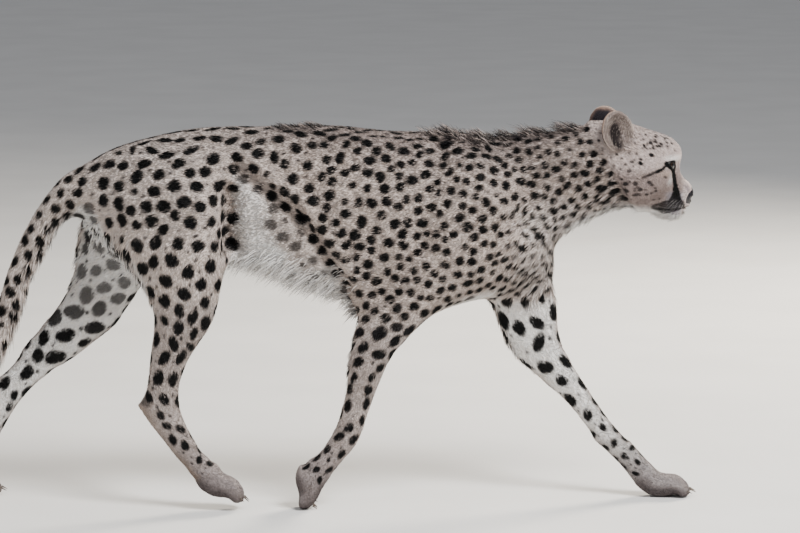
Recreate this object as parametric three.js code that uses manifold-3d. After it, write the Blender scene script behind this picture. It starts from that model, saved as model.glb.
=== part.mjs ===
// A life-size cheetah in mid-stride: head low and level, left foreleg reaching forward,
// right foreleg and right hind leg swinging through, left hind leg pushing off, tail hanging.
// Millimetres, +Z up, the animal faces +X and its left side is +Y. The floor is z = 0.
import * as THREE from "three";
import { mergeVertices } from "three/addons/utils/BufferGeometryUtils.js";
import Module from "manifold-3d";

const wasm = await Module();
wasm.setup();

// ---- Driving dimensions ------------------------------------------------------------------

const GAP = 0.3; // clear space between neighbouring solids
const LEFT = 1;
const RIGHT = -1;
const SPAN = 4000; // longer than the whole animal, for boxes that stand for half spaces

// Stations run along a limb: x, y, z of its middle, half its depth in side view, half its width.
// The coat is included, so these are the outlines of the fur.
const SPINE = [
  [-668, 0, 674, 47, 46],
  [-600, 0, 666, 102, 78],
  [-520, 0, 666, 126, 90],
  [-430, 0, 678, 132, 88],
  [-350, 0, 681, 140, 78],
  [-280, 0, 654, 170, 82],
  [-200, 0, 636, 190, 94],
  [-110, 0, 619, 197, 104],
  [-20, 0, 604, 195, 108],
  [60, 0, 604, 199, 106],
  [150, 0, 614, 193, 98],
  [230, 0, 636, 164, 84],
  [300, 0, 676, 128, 70],
  [360, 0, 699, 113, 62],
  [410, 0, 709, 105, 58],
  [455, 0, 708, 94, 56],
];

const TAIL = [
  [-640, 0, 690, 46, 42],
  [-700, -2, 656, 42, 37],
  [-745, -5, 602, 39, 34],
  [-782, -9, 530, 38, 33],
  [-806, -12, 462, 37, 32],
  [-828, -15, 394, 36, 31],
  [-856, -18, 322, 34, 30],
  [-892, -20, 248, 32, 28],
  [-942, -21, 190, 30, 27],
  [-1004, -21, 160, 28, 26],
  [-1064, -20, 164, 27, 25],
  [-1112, -18, 190, 21, 20],
];

// Right foreleg, swung back with the wrist bent and the toes just touching the floor.
const FORELEG_RIGHT = [
  [172, -66, 680, 84, 40],
  [150, -76, 567, 72, 42],
  [62, -80, 480, 68, 42],
  [-24, -78, 402, 64, 41],
  [-54, -76, 346, 56, 38],
  [-69, -74, 306, 49, 34],
  [-82, -72, 253, 43, 30],
  [-96, -70, 197, 37, 27],
  [-110, -70, 150, 36, 28],
  [-147, -70, 106, 31, 26],
  [-182, -70, 66, 28, 28],
];

// Left foreleg, reaching forward on to the floor.
const FORELEG_LEFT = [
  [215, 64, 690, 82, 40],
  [263, 74, 580, 85, 44],
  [268, 78, 480, 87, 44],
  [267, 75, 396, 76, 42],
  [282, 72, 337, 62, 39],
  [313, 70, 291, 51, 35],
  [352, 68, 246, 42, 30],
  [402, 66, 184, 34, 26],
  [440, 65, 134, 33, 27],
  [484, 65, 84, 30, 27],
  [522, 65, 44, 28, 29],
];

// Right hind leg, swinging forward with the foot just clear of the floor.
const HINDLEG_RIGHT = [
  [-524, -58, 672, 118, 50],
  [-498, -74, 603, 134, 56],
  [-472, -84, 545, 116, 56],
  [-448, -87, 494, 96, 50],
  [-442, -86, 444, 82, 44],
  [-456, -84, 396, 68, 37],
  [-471, -82, 352, 57, 32],
  [-487, -80, 307, 47, 28],
  [-496, -80, 266, 44, 27],
  [-500, -80, 228, 46, 27],
  [-488, -80, 190, 43, 26],
  [-466, -80, 152, 37, 25],
  [-437, -80, 114, 32, 26],
  [-404, -80, 78, 29, 28],
];

// Left hind leg, stretched behind and pushing off from its toes.
const HINDLEG_LEFT = [
  [-536, 58, 668, 112, 50],
  [-574, 76, 600, 112, 54],
  [-598, 84, 538, 106, 54],
  [-614, 88, 476, 94, 50],
  [-642, 90, 418, 78, 43],
  [-683, 90, 375, 67, 37],
  [-738, 89, 321, 57, 32],
  [-796, 88, 266, 46, 28],
  [-838, 86, 216, 39, 26],
  [-863, 85, 164, 32, 25],
  [-888, 84, 106, 28, 25],
  [-908, 84, 62, 26, 27],
  [-910, 84, 40, 25, 28],
];

// Bumps that stand out of a limb: middle, radii along x, y and z, and a turn about the y axis.
const LIMB_BUMPS = [
  { at: [-546, -80, 226], radii: [25, 17, 30], pitch: 0.3 }, // right heel bone
  { at: [-864, 86, 244], radii: [25, 17, 30], pitch: -0.1 }, // left heel bone
  { at: [-143, -68, 152], radii: [17, 14, 14], pitch: 0 }, // right wrist pad
  { at: [410, 64, 126], radii: [17, 14, 14], pitch: 0 }, // left wrist pad
];

// The head stands unturned here and is turned about the nape afterwards.
const HEAD_PIVOT = new THREE.Vector3(420, 0, 700);
const HEAD_YAW = THREE.MathUtils.degToRad(9);
const HEAD_MASSES = [
  { at: [484, 0, 730], radii: [88, 57, 70], pitch: 0.1 }, // brain case and forehead
  { at: [551, 0, 739], radii: [44, 42, 42], pitch: 0.3 }, // brow
  { at: [470, 0, 690], radii: [76, 62, 72], pitch: 0 }, // back of the jaws
  { at: [550, 0, 683], radii: [37, 35, 38], pitch: 0.6 }, // root of the muzzle
  { at: [581, 0, 661], radii: [28, 30, 27], pitch: 0.6 }, // upper lip
  { at: [582, 0, 674], radii: [30, 16, 14], pitch: 0.95 }, // bridge of the nose
  { at: [568, 0, 622], radii: [35, 27, 28], pitch: 0.2 }, // chin
  { at: [512, 0, 648], radii: [50, 42, 30], pitch: 0.1 }, // lower jaw
];
const HEAD_PAIRS = [
  { at: [512, 38, 698], radii: [54, 30, 44], pitch: 0.2 }, // cheek
  { at: [586, 15, 653], radii: [20, 18, 20], pitch: 0.3 }, // whisker pad
  { at: [560, 27, 741], radii: [22, 16, 12], pitch: 0.3 }, // ridge over the eye
];
const NOSE = { at: [608, 0, 657], radii: [12, 15, 13], pitch: 0.5 };
const EYE = { at: [554, 34, 719], radius: 15.5 };
const EAR = {
  at: [442, 58, 794],
  radii: [37, 43, 22], // half width, half height, half depth
  facing: [0.36, 0.92, 0.12], // the way the hollow opens
  lean: 0.25, // how far the tip tilts outwards
  wall: 5,
  hollow: 11, // how far the hollow is shifted out of its middle
};

// Toes of one paw, seen with the paw flat: how far out to the side, and how long.
const TOES = [
  { side: -23, length: 0.8 },
  { side: -8.5, length: 1 },
  { side: 8.5, length: 1 },
  { side: 23, length: 0.8 },
];
const TOE_TIP = { ahead: 49, spread: 1.05, radius: 12 };
const PAWS = [
  { name: "paw_fore_right", at: [-219, -70, 55], pitch: 1.52, claws: { lift: 1.3, shown: 20 } },
  { name: "paw_fore_left", at: [562, 65, -2], pitch: 0 },
  { name: "paw_hind_right", at: [-386, -80, 27], pitch: 0.3 },
  { name: "paw_hind_left", at: [-910, 84, -2], pitch: 0 },
];

// How softly neighbouring masses run into each other.
const BLEND = { limb: 44, tail: 18, neck: 34, head: 20, toe: 9, bump: 14 };

// ---- Distance fields ----------------------------------------------------------------------

const smoothMin = (a, b, k) => {
  const h = Math.max(k - Math.abs(a - b), 0) / k;
  return Math.min(a, b) - (h * h * k) / 4;
};

const boxDistance = ({ min, max }, x, y, z) =>
  Math.max(min.x - x, x - max.x, min.y - y, y - max.y, min.z - z, z - max.z);

// Distance to an ellipsoid whose own axes are given, close to true near its surface.
const roundDistance = (u, v, w, a, b, c) => {
  const near = Math.hypot(u / a, v / b, w / c);
  const slope = Math.hypot(u / (a * a), v / (b * b), w / (c * c));
  return slope < 1e-9 ? -Math.min(a, b, c) : (near * (near - 1)) / slope;
};

// A mass with an elliptic section that follows a smooth path through its stations.
function tube(stations, steps = 5) {
  const path = new THREE.CatmullRomCurve3(stations.map(([x, y, z]) => new THREE.Vector3(x, y, z)));
  const sizes = new THREE.CatmullRomCurve3(stations.map((s) => new THREE.Vector3(s[3], s[4], 0)));
  const count = (stations.length - 1) * steps;
  const links = [];
  for (let i = 0; i < count; i++) {
    const from = path.getPoint(i / count);
    const to = path.getPoint((i + 1) / count);
    const along = to.clone().sub(from);
    const length = along.length();
    along.divideScalar(length);
    const side = new THREE.Vector3(-along.y, along.x, 0).normalize();
    if (side.y < 0) side.negate();
    if (Math.abs(along.x) + Math.abs(along.y) < 0.2) side.set(0, 1, 0);
    const up = new THREE.Vector3().crossVectors(along, side).normalize();
    side.crossVectors(up, along);
    const a = sizes.getPoint(i / count);
    const b = sizes.getPoint((i + 1) / count);
    links.push({ from, along, side, up, length, a, b });
  }
  const box = new THREE.Box3().setFromPoints(links.flatMap((l) => [l.from]));
  box.expandByScalar(Math.max(...stations.map((s) => Math.max(s[3], s[4]))));
  return (x, y, z, reach) => {
    const gap = boxDistance(box, x, y, z);
    if (gap > reach) return gap;
    let best = Infinity;
    for (const l of links) {
      const dx = x - l.from.x;
      const dy = y - l.from.y;
      const dz = z - l.from.z;
      const s = dx * l.along.x + dy * l.along.y + dz * l.along.z;
      const t = Math.min(Math.max(s / l.length, 0), 1);
      const deep = l.a.x + (l.b.x - l.a.x) * t;
      const wide = l.a.y + (l.b.y - l.a.y) * t;
      const u = dx * l.up.x + dy * l.up.y + dz * l.up.z;
      const v = dx * l.side.x + dy * l.side.y + dz * l.side.z;
      best = Math.min(best, roundDistance(u, v, s - t * l.length, deep, wide, Math.min(deep, wide)));
    }
    return best;
  };
}

function ellipsoid({ at, radii, pitch }) {
  const c = Math.cos(pitch);
  const s = Math.sin(pitch);
  const most = Math.max(...radii);
  return (x, y, z, reach) => {
    const dx = x - at[0];
    const dy = y - at[1];
    const dz = z - at[2];
    const gap = Math.hypot(dx, dy, dz) - most;
    if (gap > reach) return gap;
    return roundDistance(c * dx - s * dz, dy, s * dx + c * dz, ...radii);
  };
}

const mirrored = (mass) => [mass, { ...mass, at: [mass.at[0], -mass.at[1], mass.at[2]] }];

function joined(fields, k) {
  return (x, y, z, reach) => fields.reduce((d, f) => smoothMin(d, f(x, y, z, reach), k), 1e6);
}

// A paw's palm and toes. Pitch tips the toes downwards from flat.
function pawPoint(paw, x, y, z) {
  const c = Math.cos(paw.pitch);
  const s = Math.sin(paw.pitch);
  return [paw.at[0] + c * x + s * z, paw.at[1] + y, paw.at[2] - s * x + c * z];
}

function pawField(paw) {
  const palm = ellipsoid({ at: pawPoint(paw, -6, 0, 24), radii: [40, 31, 25], pitch: paw.pitch });
  const toes = TOES.map(({ side, length }) => {
    const { ahead, spread, radius } = TOE_TIP;
    const joints = [
      [2, side * 0.8, 27, 16, 13],
      [26 * length, side, 33, 15, 13.5],
      [42 * length, side * spread, 23, 13.5, 13],
      [ahead * length, side * spread, 12, radius, radius],
    ];
    return tube(joints.map(([x, y, z, deep, wide]) => [...pawPoint(paw, x, y, z), deep, wide]), 3);
  });
  const hand = joined(toes, BLEND.toe);
  return (x, y, z, reach) => smoothMin(palm(x, y, z, reach), hand(x, y, z, reach), BLEND.toe + 3);
}

// From the turned head back to the frame that its masses are listed in.
function turned(field) {
  const c = Math.cos(-HEAD_YAW);
  const s = Math.sin(-HEAD_YAW);
  return (x, y, z, reach) => {
    const dx = x - HEAD_PIVOT.x;
    const dy = y - HEAD_PIVOT.y;
    return field(HEAD_PIVOT.x + c * dx - s * dy, HEAD_PIVOT.y + s * dx + c * dy, z, reach);
  };
}

const UPWARDS = new THREE.Vector3(0, 0, 1);
const turnedWay = (direction) => direction.normalize().applyAxisAngle(UPWARDS, HEAD_YAW);
const turnedPoint = ([x, y, z]) =>
  new THREE.Vector3(x, y, z).sub(HEAD_PIVOT).applyAxisAngle(UPWARDS, HEAD_YAW).add(HEAD_PIVOT);

const headMasses = [...HEAD_MASSES, ...HEAD_PAIRS.flatMap(mirrored)].map(ellipsoid);
const skull = turned(joined([...headMasses, ellipsoid(NOSE)], BLEND.head));
const limbs = [FORELEG_RIGHT, FORELEG_LEFT, HINDLEG_RIGHT, HINDLEG_LEFT].map((s) => tube(s));
const spine = tube(SPINE);
const tail = tube(TAIL);
const bumps = LIMB_BUMPS.map(ellipsoid);
const paws = PAWS.map(pawField);

const REACH = 2 * BLEND.limb; // masses farther off than this have no say

function tailless(x, y, z) {
  const reach = REACH;
  let d = spine(x, y, z, reach);
  for (const limb of limbs) d = smoothMin(d, limb(x, y, z, reach), BLEND.limb);
  for (const bump of bumps) d = smoothMin(d, bump(x, y, z, reach), BLEND.bump);
  for (const paw of paws) d = smoothMin(d, paw(x, y, z, reach), BLEND.toe * 2);
  return smoothMin(d, skull(x, y, z, reach), BLEND.neck);
}

const withTail = (field) => (x, y, z) =>
  smoothMin(field(x, y, z, REACH), tail(x, y, z, REACH), BLEND.tail);
const wholeBody = withTail(tailless);
const tailAndSpine = withTail(spine);

// ---- Surfaces from the field ------------------------------------------------------------------

// Where a grid square has its inner corners on a diagonal, the net would touch itself along an
// edge. Filling the shallower of its two outer corners prevents that.
function fillDiagonals(value, n) {
  const strides = [1, n.x, n.x * n.y];
  const last = value.length - strides[0] - strides[1] - strides[2];
  let filled = false;
  for (let p = 0; p < last; p++)
    for (const skipped of strides) {
      const [a, b] = strides.filter((stride) => stride !== skipped);
      const inner = value[p] < 0;
      const crossed = [p + a, p + b].every((q) => value[q] < 0 !== inner);
      if (!crossed || value[p + a + b] < 0 !== inner) continue;
      const [q, r] = inner ? [p + a, p + b] : [p, p + a + b];
      value[value[q] < value[r] ? q : r] = -0.1;
      filled = true;
    }
  if (filled) fillDiagonals(value, n);
}

// Wraps a field in a net of quads over a grid that stands along the given direction.
function net(field, { from, to, along = [1, 0, 0], cell }) {
  const u = new THREE.Vector3(...along).normalize();
  const v = new THREE.Vector3(0, 1, 0).addScaledVector(u, -u.y).normalize();
  const w = new THREE.Vector3().crossVectors(u, v);
  const frame = new THREE.Matrix4().makeBasis(u, v, w);
  const back = frame.clone().transpose();
  const limits = new THREE.Box3(new THREE.Vector3(...from), new THREE.Vector3(...to));
  const spare = 1.5 * Math.max(...cell);
  limits.expandByVector(new THREE.Vector3(spare, 0, spare)); // keeps its blunt edges off the cuts
  const box = limits.clone().applyMatrix4(back);
  const step = new THREE.Vector3(...cell);
  const n = box.getSize(new THREE.Vector3()).divide(step).ceil().addScalar(4);
  const corner = box.min.clone().addScaledVector(step, -1.5);
  const at = (i, j, k) => (k * n.y + j) * n.x + i;
  const place = (i, j, k) =>
    new THREE.Vector3(i, j, k).multiply(step).add(corner).applyMatrix4(frame);
  const value = new Float32Array(n.x * n.y * n.z).fill(1);
  const outside = (p) => boxDistance(limits, p.x, p.y, p.z);
  for (let k = 1; k < n.z - 1; k++)
    for (let j = 1; j < n.y - 1; j++)
      for (let i = 1; i < n.x - 1; i++) {
        const p = place(i, j, k);
        value[at(i, j, k)] = Math.max(field(p.x, p.y, p.z), outside(p));
      }
  fillDiagonals(value, n);
  const CORNERS = [0, 1, 2, 3, 4, 5, 6, 7].map((c) => [c & 1, (c >> 1) & 1, c >> 2]);
  const EDGES = CORNERS.flatMap((a, i) =>
    CORNERS.map((b, j) => [i, j]).filter(([, j]) => j > i && [1, 2, 4].includes(i ^ j)),
  );
  const points = [];
  const index = new Map();
  for (let k = 0; k < n.z - 1; k++)
    for (let j = 0; j < n.y - 1; j++)
      for (let i = 0; i < n.x - 1; i++) {
        const d = CORNERS.map(([a, b, c]) => value[at(i + a, j + b, k + c)]);
        const inside = d.filter((x) => x < 0).length;
        if (inside === 0 || inside === 8) continue;
        const sum = new THREE.Vector3();
        let hits = 0;
        for (const [a, b] of EDGES) {
          if (d[a] < 0 === d[b] < 0) continue;
          const t = d[a] / (d[a] - d[b]);
          for (const [m, key] of ["x", "y", "z"].entries())
            sum[key] += CORNERS[a][m] + (CORNERS[b][m] - CORNERS[a][m]) * t;
          hits++;
        }
        sum.divideScalar(hits);
        index.set(at(i, j, k), points.length / 3);
        points.push(...place(i + sum.x, j + sum.y, k + sum.z).toArray());
      }
  const faces = [];
  const quad = (cells, flip) => {
    const [a, b, c, d] = cells.map((m) => index.get(m));
    faces.push(...(flip ? [a, b, c, a, c, d] : [a, c, b, a, d, c]));
  };
  for (let k = 1; k < n.z - 1; k++)
    for (let j = 1; j < n.y - 1; j++)
      for (let i = 1; i < n.x - 1; i++) {
        const here = value[at(i, j, k)] < 0;
        if (here !== value[at(i + 1, j, k)] < 0)
          quad([at(i, j - 1, k - 1), at(i, j, k - 1), at(i, j, k), at(i, j - 1, k)], here);
        if (here !== value[at(i, j + 1, k)] < 0)
          quad([at(i - 1, j, k - 1), at(i - 1, j, k), at(i, j, k), at(i, j, k - 1)], here);
        if (here !== value[at(i, j, k + 1)] < 0)
          quad([at(i - 1, j - 1, k), at(i, j - 1, k), at(i, j, k), at(i - 1, j, k)], here);
      }
  return new THREE.BufferGeometry()
    .setAttribute("position", new THREE.Float32BufferAttribute(points, 3))
    .setIndex(faces);
}

// ---- Solids and cuts ----------------------------------------------------------------------------

function solid(geometry) {
  const bare = geometry.clone();
  bare.deleteAttribute("normal");
  bare.deleteAttribute("uv");
  const merged = mergeVertices(bare, 1e-3);
  return new wasm.Manifold(
    new wasm.Mesh({
      numProp: 3,
      vertProperties: merged.attributes.position.array,
      triVerts: new Uint32Array(merged.index.array),
    }),
  );
}

function geometryOf(manifold) {
  const mesh = manifold.getMesh();
  return new THREE.BufferGeometry()
    .setAttribute("position", new THREE.BufferAttribute(new Float32Array(mesh.vertProperties), 3))
    .setIndex(new THREE.BufferAttribute(new Uint32Array(mesh.triVerts), 1));
}

// A cut is a plane: a point on it and the direction that a piece is kept in.
const cut = (at, normal) => {
  const way = new THREE.Vector3(...normal).normalize();
  return { at: new THREE.Vector3(...at), normal: way };
};

function keep(manifold, cuts, gap = GAP / 2) {
  return cuts.reduce(
    (m, { at, normal }) => m.trimByPlane(normal.toArray(), at.dot(normal) + gap),
    manifold,
  );
}

// The space in front of all these cuts, a little swollen, for taking out of a neighbour.
const room = (cuts) => keep(solid(new THREE.BoxGeometry(SPAN, SPAN, SPAN)), cuts, -GAP / 2);

// Only the piece that holds the most, where a cut has left a chip beside it.
const largest = (manifold) =>
  manifold.decompose().reduce((a, b) => (b.volume() > a.volume() ? b : a));

// Takes the pieces beyond each joint away and leaves one clean piece.
function carve(shape, cuts, beyond) {
  const piece = beyond.reduce((m, cuts) => m.subtract(room(cuts)), keep(shape, cuts));
  return geometryOf(largest(piece));
}

// ---- Where the body is parted ---------------------------------------------------------------------

// Below the hips and behind the flank.
const HIPS = [cut([-345, 0, 540], [-0.186, 0, -0.983]), cut([-350, 0, 500], [-1, 0, 0])];

// Each joint is the set of cuts that a region beyond it lies in front of.
const JOINTS = {
  tail: [cut([-682, 0, 660], [-1, 0, 0])],
  tailMiddle: [cut([-806, -12, 462], [-0.35, 0, -0.94])],
  tailEnd: [cut([-904, -20, 232], [-0.72, 0, -0.7])],
  neck: [cut([334, 0, 563], [0.886, 0, 0.464])],
  head: [cut([388, 0, 812], [0.877, 0, 0.48])],
  foreRight: [cut([-24, 0, 402], [0, 0, -1])],
  wristRight: [cut([-112, 0, 160], [-0.4, 0, -0.92])],
  pawForeRight: [cut([-180, 0, 72], [-0.62, 0, -0.78])],
  foreLeft: [cut([262, 0, 430], [0, 0, -1]), cut([180, 0, 400], [1, 0, 0])],
  wristLeft: [cut([436, 0, 146], [0.6, 0, -0.8])],
  pawForeLeft: [cut([516, 0, 52], [0.8, 0, -0.6])],
  hindRight: [...HIPS, cut([0, 0, 0], [0, RIGHT, 0])],
  hindLeft: [...HIPS, cut([0, 0, 0], [0, LEFT, 0])],
  kneeRight: [cut([-442, 0, 430], [-0.1, 0, -1])],
  heelRight: [cut([-498, 0, 232], [0.1, 0, -1])],
  pawHindRight: [cut([-398, 0, 92], [0.7, 0, -0.72])],
  kneeLeft: [cut([-650, 0, 424], [-0.6, 0, -0.8])],
  heelLeft: [cut([-840, 0, 232], [-0.35, 0, -0.94])],
  pawHindLeft: [cut([-938, 0, 76], [-0.1, 0, -1])],
};


// Cuts that are listed for the unturned head.
const headCut = (at, normal) => ({
  at: turnedPoint(at),
  normal: turnedWay(new THREE.Vector3(...normal)),
});
JOINTS.nose = [
  headCut([600, 0, 670], [0.8, 0, 0.6]),
  headCut([0, 0, 650], [0, 0, 1]),
  headCut([0, 0, 684], [0, 0, -1]),
  headCut([0, 17, 0], [0, -1, 0]),
  headCut([0, -17, 0], [0, 1, 0]),
];
JOINTS.floor = [cut([0, 0, 0], [0, 0, 1])];

// One entry for each fleshy node: the cuts it lies inside, the regions beyond it, the box that
// its surface is wrapped in, its grid's cell, and the direction that the cell's length runs in.
const FLESH = [
  {
    name: "trunk", field: wholeBody, inside: [],
    beyond: ["tail", "neck", "foreRight", "foreLeft", "hindRight", "hindLeft"],
    from: [-720, -160, 380], to: [400, 160, 850], cell: [65, 44, 38],
  },
  {
    name: "neck", inside: ["neck"], beyond: ["head"],
    from: [190, -110, 520], to: [540, 110, 850], along: [0.9, 0, 0.4], cell: [48, 34, 34],
  },
  {
    name: "head", inside: ["head"], beyond: ["nose"],
    from: [370, -90, 590], to: [640, 100, 840], along: [0.9, 0.14, -0.4], cell: [20, 16, 16],
  },
  {
    name: "nose", inside: ["nose"], beyond: [],
    from: [580, -20, 640], to: [640, 60, 700], cell: [14, 13, 13],
  },
  {
    name: "tail_base", field: tailAndSpine, inside: ["tail"], beyond: ["tailMiddle"],
    from: [-860, -80, 400], to: [-630, 48, 740], along: [-0.5, 0, -0.86], cell: [60, 26, 26],
  },
  {
    name: "tail_middle", field: tailAndSpine, inside: ["tailMiddle"], beyond: ["tailEnd"],
    from: [-960, -80, 190], to: [-740, 26, 520], along: [-0.38, 0, -0.92], cell: [56, 24, 24],
  },
  {
    name: "tail_end", field: tailAndSpine, inside: ["tailEnd"], beyond: [],
    from: [-1150, -70, 110], to: [-860, 26, 280], cell: [44, 22, 22],
  },
  {
    name: "forearm_right", inside: ["foreRight"], beyond: ["wristRight"],
    from: [-180, -140, 130], to: [80, -10, 420], along: [-0.25, 0, -1], cell: [54, 25, 25],
  },
  {
    name: "pastern_fore_right", inside: ["wristRight"], beyond: ["pawForeRight"],
    from: [-230, -130, 30], to: [-70, -20, 180], along: [-0.6, 0, -0.8], cell: [34, 21, 21],
  },
  {
    name: "paw_fore_right", inside: ["pawForeRight", "floor"], beyond: [],
    from: [-260, -130, -8], to: [-140, -10, 110], along: [0, 0, -1], cell: [12.5, 12.5, 12.5],
  },
  {
    name: "forearm_left", inside: ["foreLeft"], beyond: ["wristLeft"],
    from: [180, 10, 120], to: [480, 140, 450], along: [0.55, 0, -0.83], cell: [54, 25, 25],
  },
  {
    name: "pastern_fore_left", inside: ["wristLeft"], beyond: ["pawForeLeft"],
    from: [400, 20, 30], to: [570, 120, 170], along: [0.65, 0, -0.76], cell: [34, 21, 21],
  },
  {
    name: "paw_fore_left", inside: ["pawForeLeft", "floor"], beyond: [],
    from: [500, 0, -8], to: [640, 130, 80], cell: [12.5, 12.5, 12.5],
  },
  {
    name: "thigh_right", inside: ["hindRight"], beyond: ["kneeRight"],
    from: [-660, -160, 410], to: [-330, 45, 660], along: [0, 0, -1], cell: [58, 36, 36],
  },
  {
    name: "shank_right", inside: ["kneeRight"], beyond: ["heelRight"],
    from: [-600, -140, 210], to: [-340, -20, 450], along: [-0.26, 0, -0.97], cell: [50, 26, 26],
  },
  {
    name: "pastern_hind_right", inside: ["heelRight"], beyond: ["pawHindRight"],
    from: [-560, -130, 50], to: [-360, -30, 250], along: [0.6, 0, -0.8], cell: [44, 21, 21],
  },
  {
    name: "paw_hind_right", inside: ["pawHindRight", "floor"], beyond: [],
    from: [-430, -150, 5], to: [-300, -20, 110], cell: [12.5, 12.5, 12.5],
  },
  {
    name: "thigh_left", inside: ["hindLeft"], beyond: ["kneeLeft"],
    from: [-740, -45, 350], to: [-330, 160, 660], along: [-0.4, 0, -1], cell: [60, 38, 38],
  },
  {
    name: "shank_left", inside: ["kneeLeft"], beyond: ["heelLeft"],
    from: [-920, 20, 190], to: [-590, 150, 480], along: [-0.72, 0, -0.7], cell: [50, 26, 26],
  },
  {
    name: "pastern_hind_left", inside: ["heelLeft"], beyond: ["pawHindLeft"],
    from: [-980, 30, 50], to: [-790, 140, 260], along: [-0.4, 0, -0.9], cell: [44, 21, 21],
  },
  {
    name: "paw_hind_left", inside: ["pawHindLeft", "floor"], beyond: [],
    from: [-990, 10, -8], to: [-850, 160, 95], cell: [12.5, 12.5, 12.5],
  },
];

// ---- Trim: ears, eyes and claws -----------------------------------------------------------------

// An egg-shaped solid that stands on the given axes.
function egg(at, [across, up, out], [wide, tall, deep]) {
  const place = new THREE.Matrix4().makeBasis(across, up, out).setPosition(at);
  return solid(new THREE.SphereGeometry(1, 9, 7).scale(wide, tall, deep).applyMatrix4(place));
}

// What is left of a piece that grows out of another, standing clear of it by the gap.
function grownFrom(piece, base, direction) {
  const [x, y, z] = direction.clone().multiplyScalar(GAP).toArray();
  return geometryOf(largest(piece.subtract(base).subtract(base.translate([x, y, z]))));
}

// An ear is a cup: a tall egg with a smaller one taken out of the side that it faces.
function ear(side, head) {
  const facing = turnedWay(new THREE.Vector3(EAR.facing[0], EAR.facing[1] * side, EAR.facing[2]));
  const up = turnedWay(new THREE.Vector3(0, Math.sin(EAR.lean) * side, Math.cos(EAR.lean)));
  const across = new THREE.Vector3().crossVectors(up, facing).normalize();
  up.crossVectors(facing, across);
  const at = turnedPoint([EAR.at[0], EAR.at[1] * side, EAR.at[2]]);
  const [wide, tall, deep] = EAR.radii;
  const mouth = at.clone().addScaledVector(facing, EAR.hollow);
  const cup = egg(at, [across, up, facing], EAR.radii);
  const hollow = egg(mouth, [across, up, facing], [wide - EAR.wall, tall - EAR.wall, deep]);
  return grownFrom(cup.subtract(hollow), head, up);
}

const eyeCentre = (side) => turnedPoint([EYE.at[0], EYE.at[1] * side, EYE.at[2]]);
const eyeball = (radius) => new THREE.SphereGeometry(radius, 12, 8).rotateX(Math.PI / 2);
const CLAW = { length: 20, base: 3.4, tip: 0.6, hook: 7, shown: 8, above: 7, lift: 0 };

// A short hooked cone that comes out of a toe's end and stays off the floor.
function claw(paw, toe, base) {
  const { length, hook, shown, above, lift } = { ...CLAW, ...paw.claws };
  const cone = new THREE.CylinderGeometry(CLAW.tip, CLAW.base, length, 5, 2).rotateZ(-Math.PI / 2);
  const spots = cone.attributes.position;
  for (let i = 0; i < spots.count; i++) {
    const t = spots.getX(i) / length + 0.5;
    spots.setZ(i, spots.getZ(i) - hook * t * t);
  }
  const { ahead, spread, radius } = TOE_TIP;
  cone.translate(radius + shown - length / 2, 0, above).rotateY(-lift);
  cone.rotateY(paw.pitch).translate(...pawPoint(paw, ahead * toe.length, toe.side * spread, radius));
  const forward = new THREE.Vector3(Math.cos(paw.pitch - lift), 0, -Math.sin(paw.pitch - lift));
  return grownFrom(solid(cone).trimByPlane([0, 0, 1], GAP), base, forward);
}

// ---- The model ------------------------------------------------------------------------------------

const finish = {
  coat: new THREE.MeshStandardMaterial({ color: 0xc9ab84, roughness: 0.9 }),
  paleCoat: new THREE.MeshStandardMaterial({ color: 0xe0d3c2, roughness: 0.9 }),
  eye: new THREE.MeshStandardMaterial({ color: 0x6b3d12, roughness: 0.08 }),
  nose: new THREE.MeshStandardMaterial({ color: 0x1d1614, roughness: 0.45 }),
  claw: new THREE.MeshStandardMaterial({ color: 0x2b2420, roughness: 0.35 }),
};

function wrap(part) {
  const inside = part.inside.flatMap((joint) => JOINTS[joint]);
  return carve(solid(net(part.field ?? tailless, part)), inside, part.beyond.map((joint) => JOINTS[joint]));
}

const shapes = new Map(FLESH.map((part) => [part.name, wrap(part)]));
for (const side of [LEFT, RIGHT]) {
  const socket = solid(eyeball(EYE.radius + GAP)).translate(eyeCentre(side).toArray());
  shapes.set("head", geometryOf(largest(solid(shapes.get("head")).subtract(socket))));
}

const cheetah = new THREE.Group();
function add(name, geometry, material) {
  const mesh = new THREE.Mesh(geometry, material);
  mesh.name = name;
  cheetah.add(mesh);
  return mesh;
}

for (const [name, geometry] of shapes) add(name, geometry, name === "nose" ? finish.nose : finish.coat);

const headSolid = solid(shapes.get("head"));
for (const side of [LEFT, RIGHT]) {
  const hand = side === LEFT ? "left" : "right";
  add(`ear_${hand}`, ear(side, headSolid), finish.coat);
  add(`eye_${hand}`, eyeball(EYE.radius), finish.eye).position.copy(eyeCentre(side));
}

for (const paw of PAWS) {
  const base = solid(shapes.get(paw.name));
  TOES.forEach((toe, i) => add(`claw_${paw.name.slice(4)}_${i + 1}`, claw(paw, toe, base), finish.claw));
}

// The origin is the middle of the underside of the whole model's box.
const bounds = new THREE.Box3().setFromObject(cheetah);
const middle = bounds.getCenter(new THREE.Vector3());
cheetah.position.set(-middle.x, -middle.y, -bounds.min.z);

export default cheetah;
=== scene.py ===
"""A still, life-size cheetah: one skin, a coat of mesh tufts with the same markings, and its trim."""

import math
from types import SimpleNamespace

import bmesh
import bpy
import numpy as np
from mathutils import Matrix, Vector
from mathutils.bvhtree import BVHTree
from mathutils.kdtree import KDTree


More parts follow.
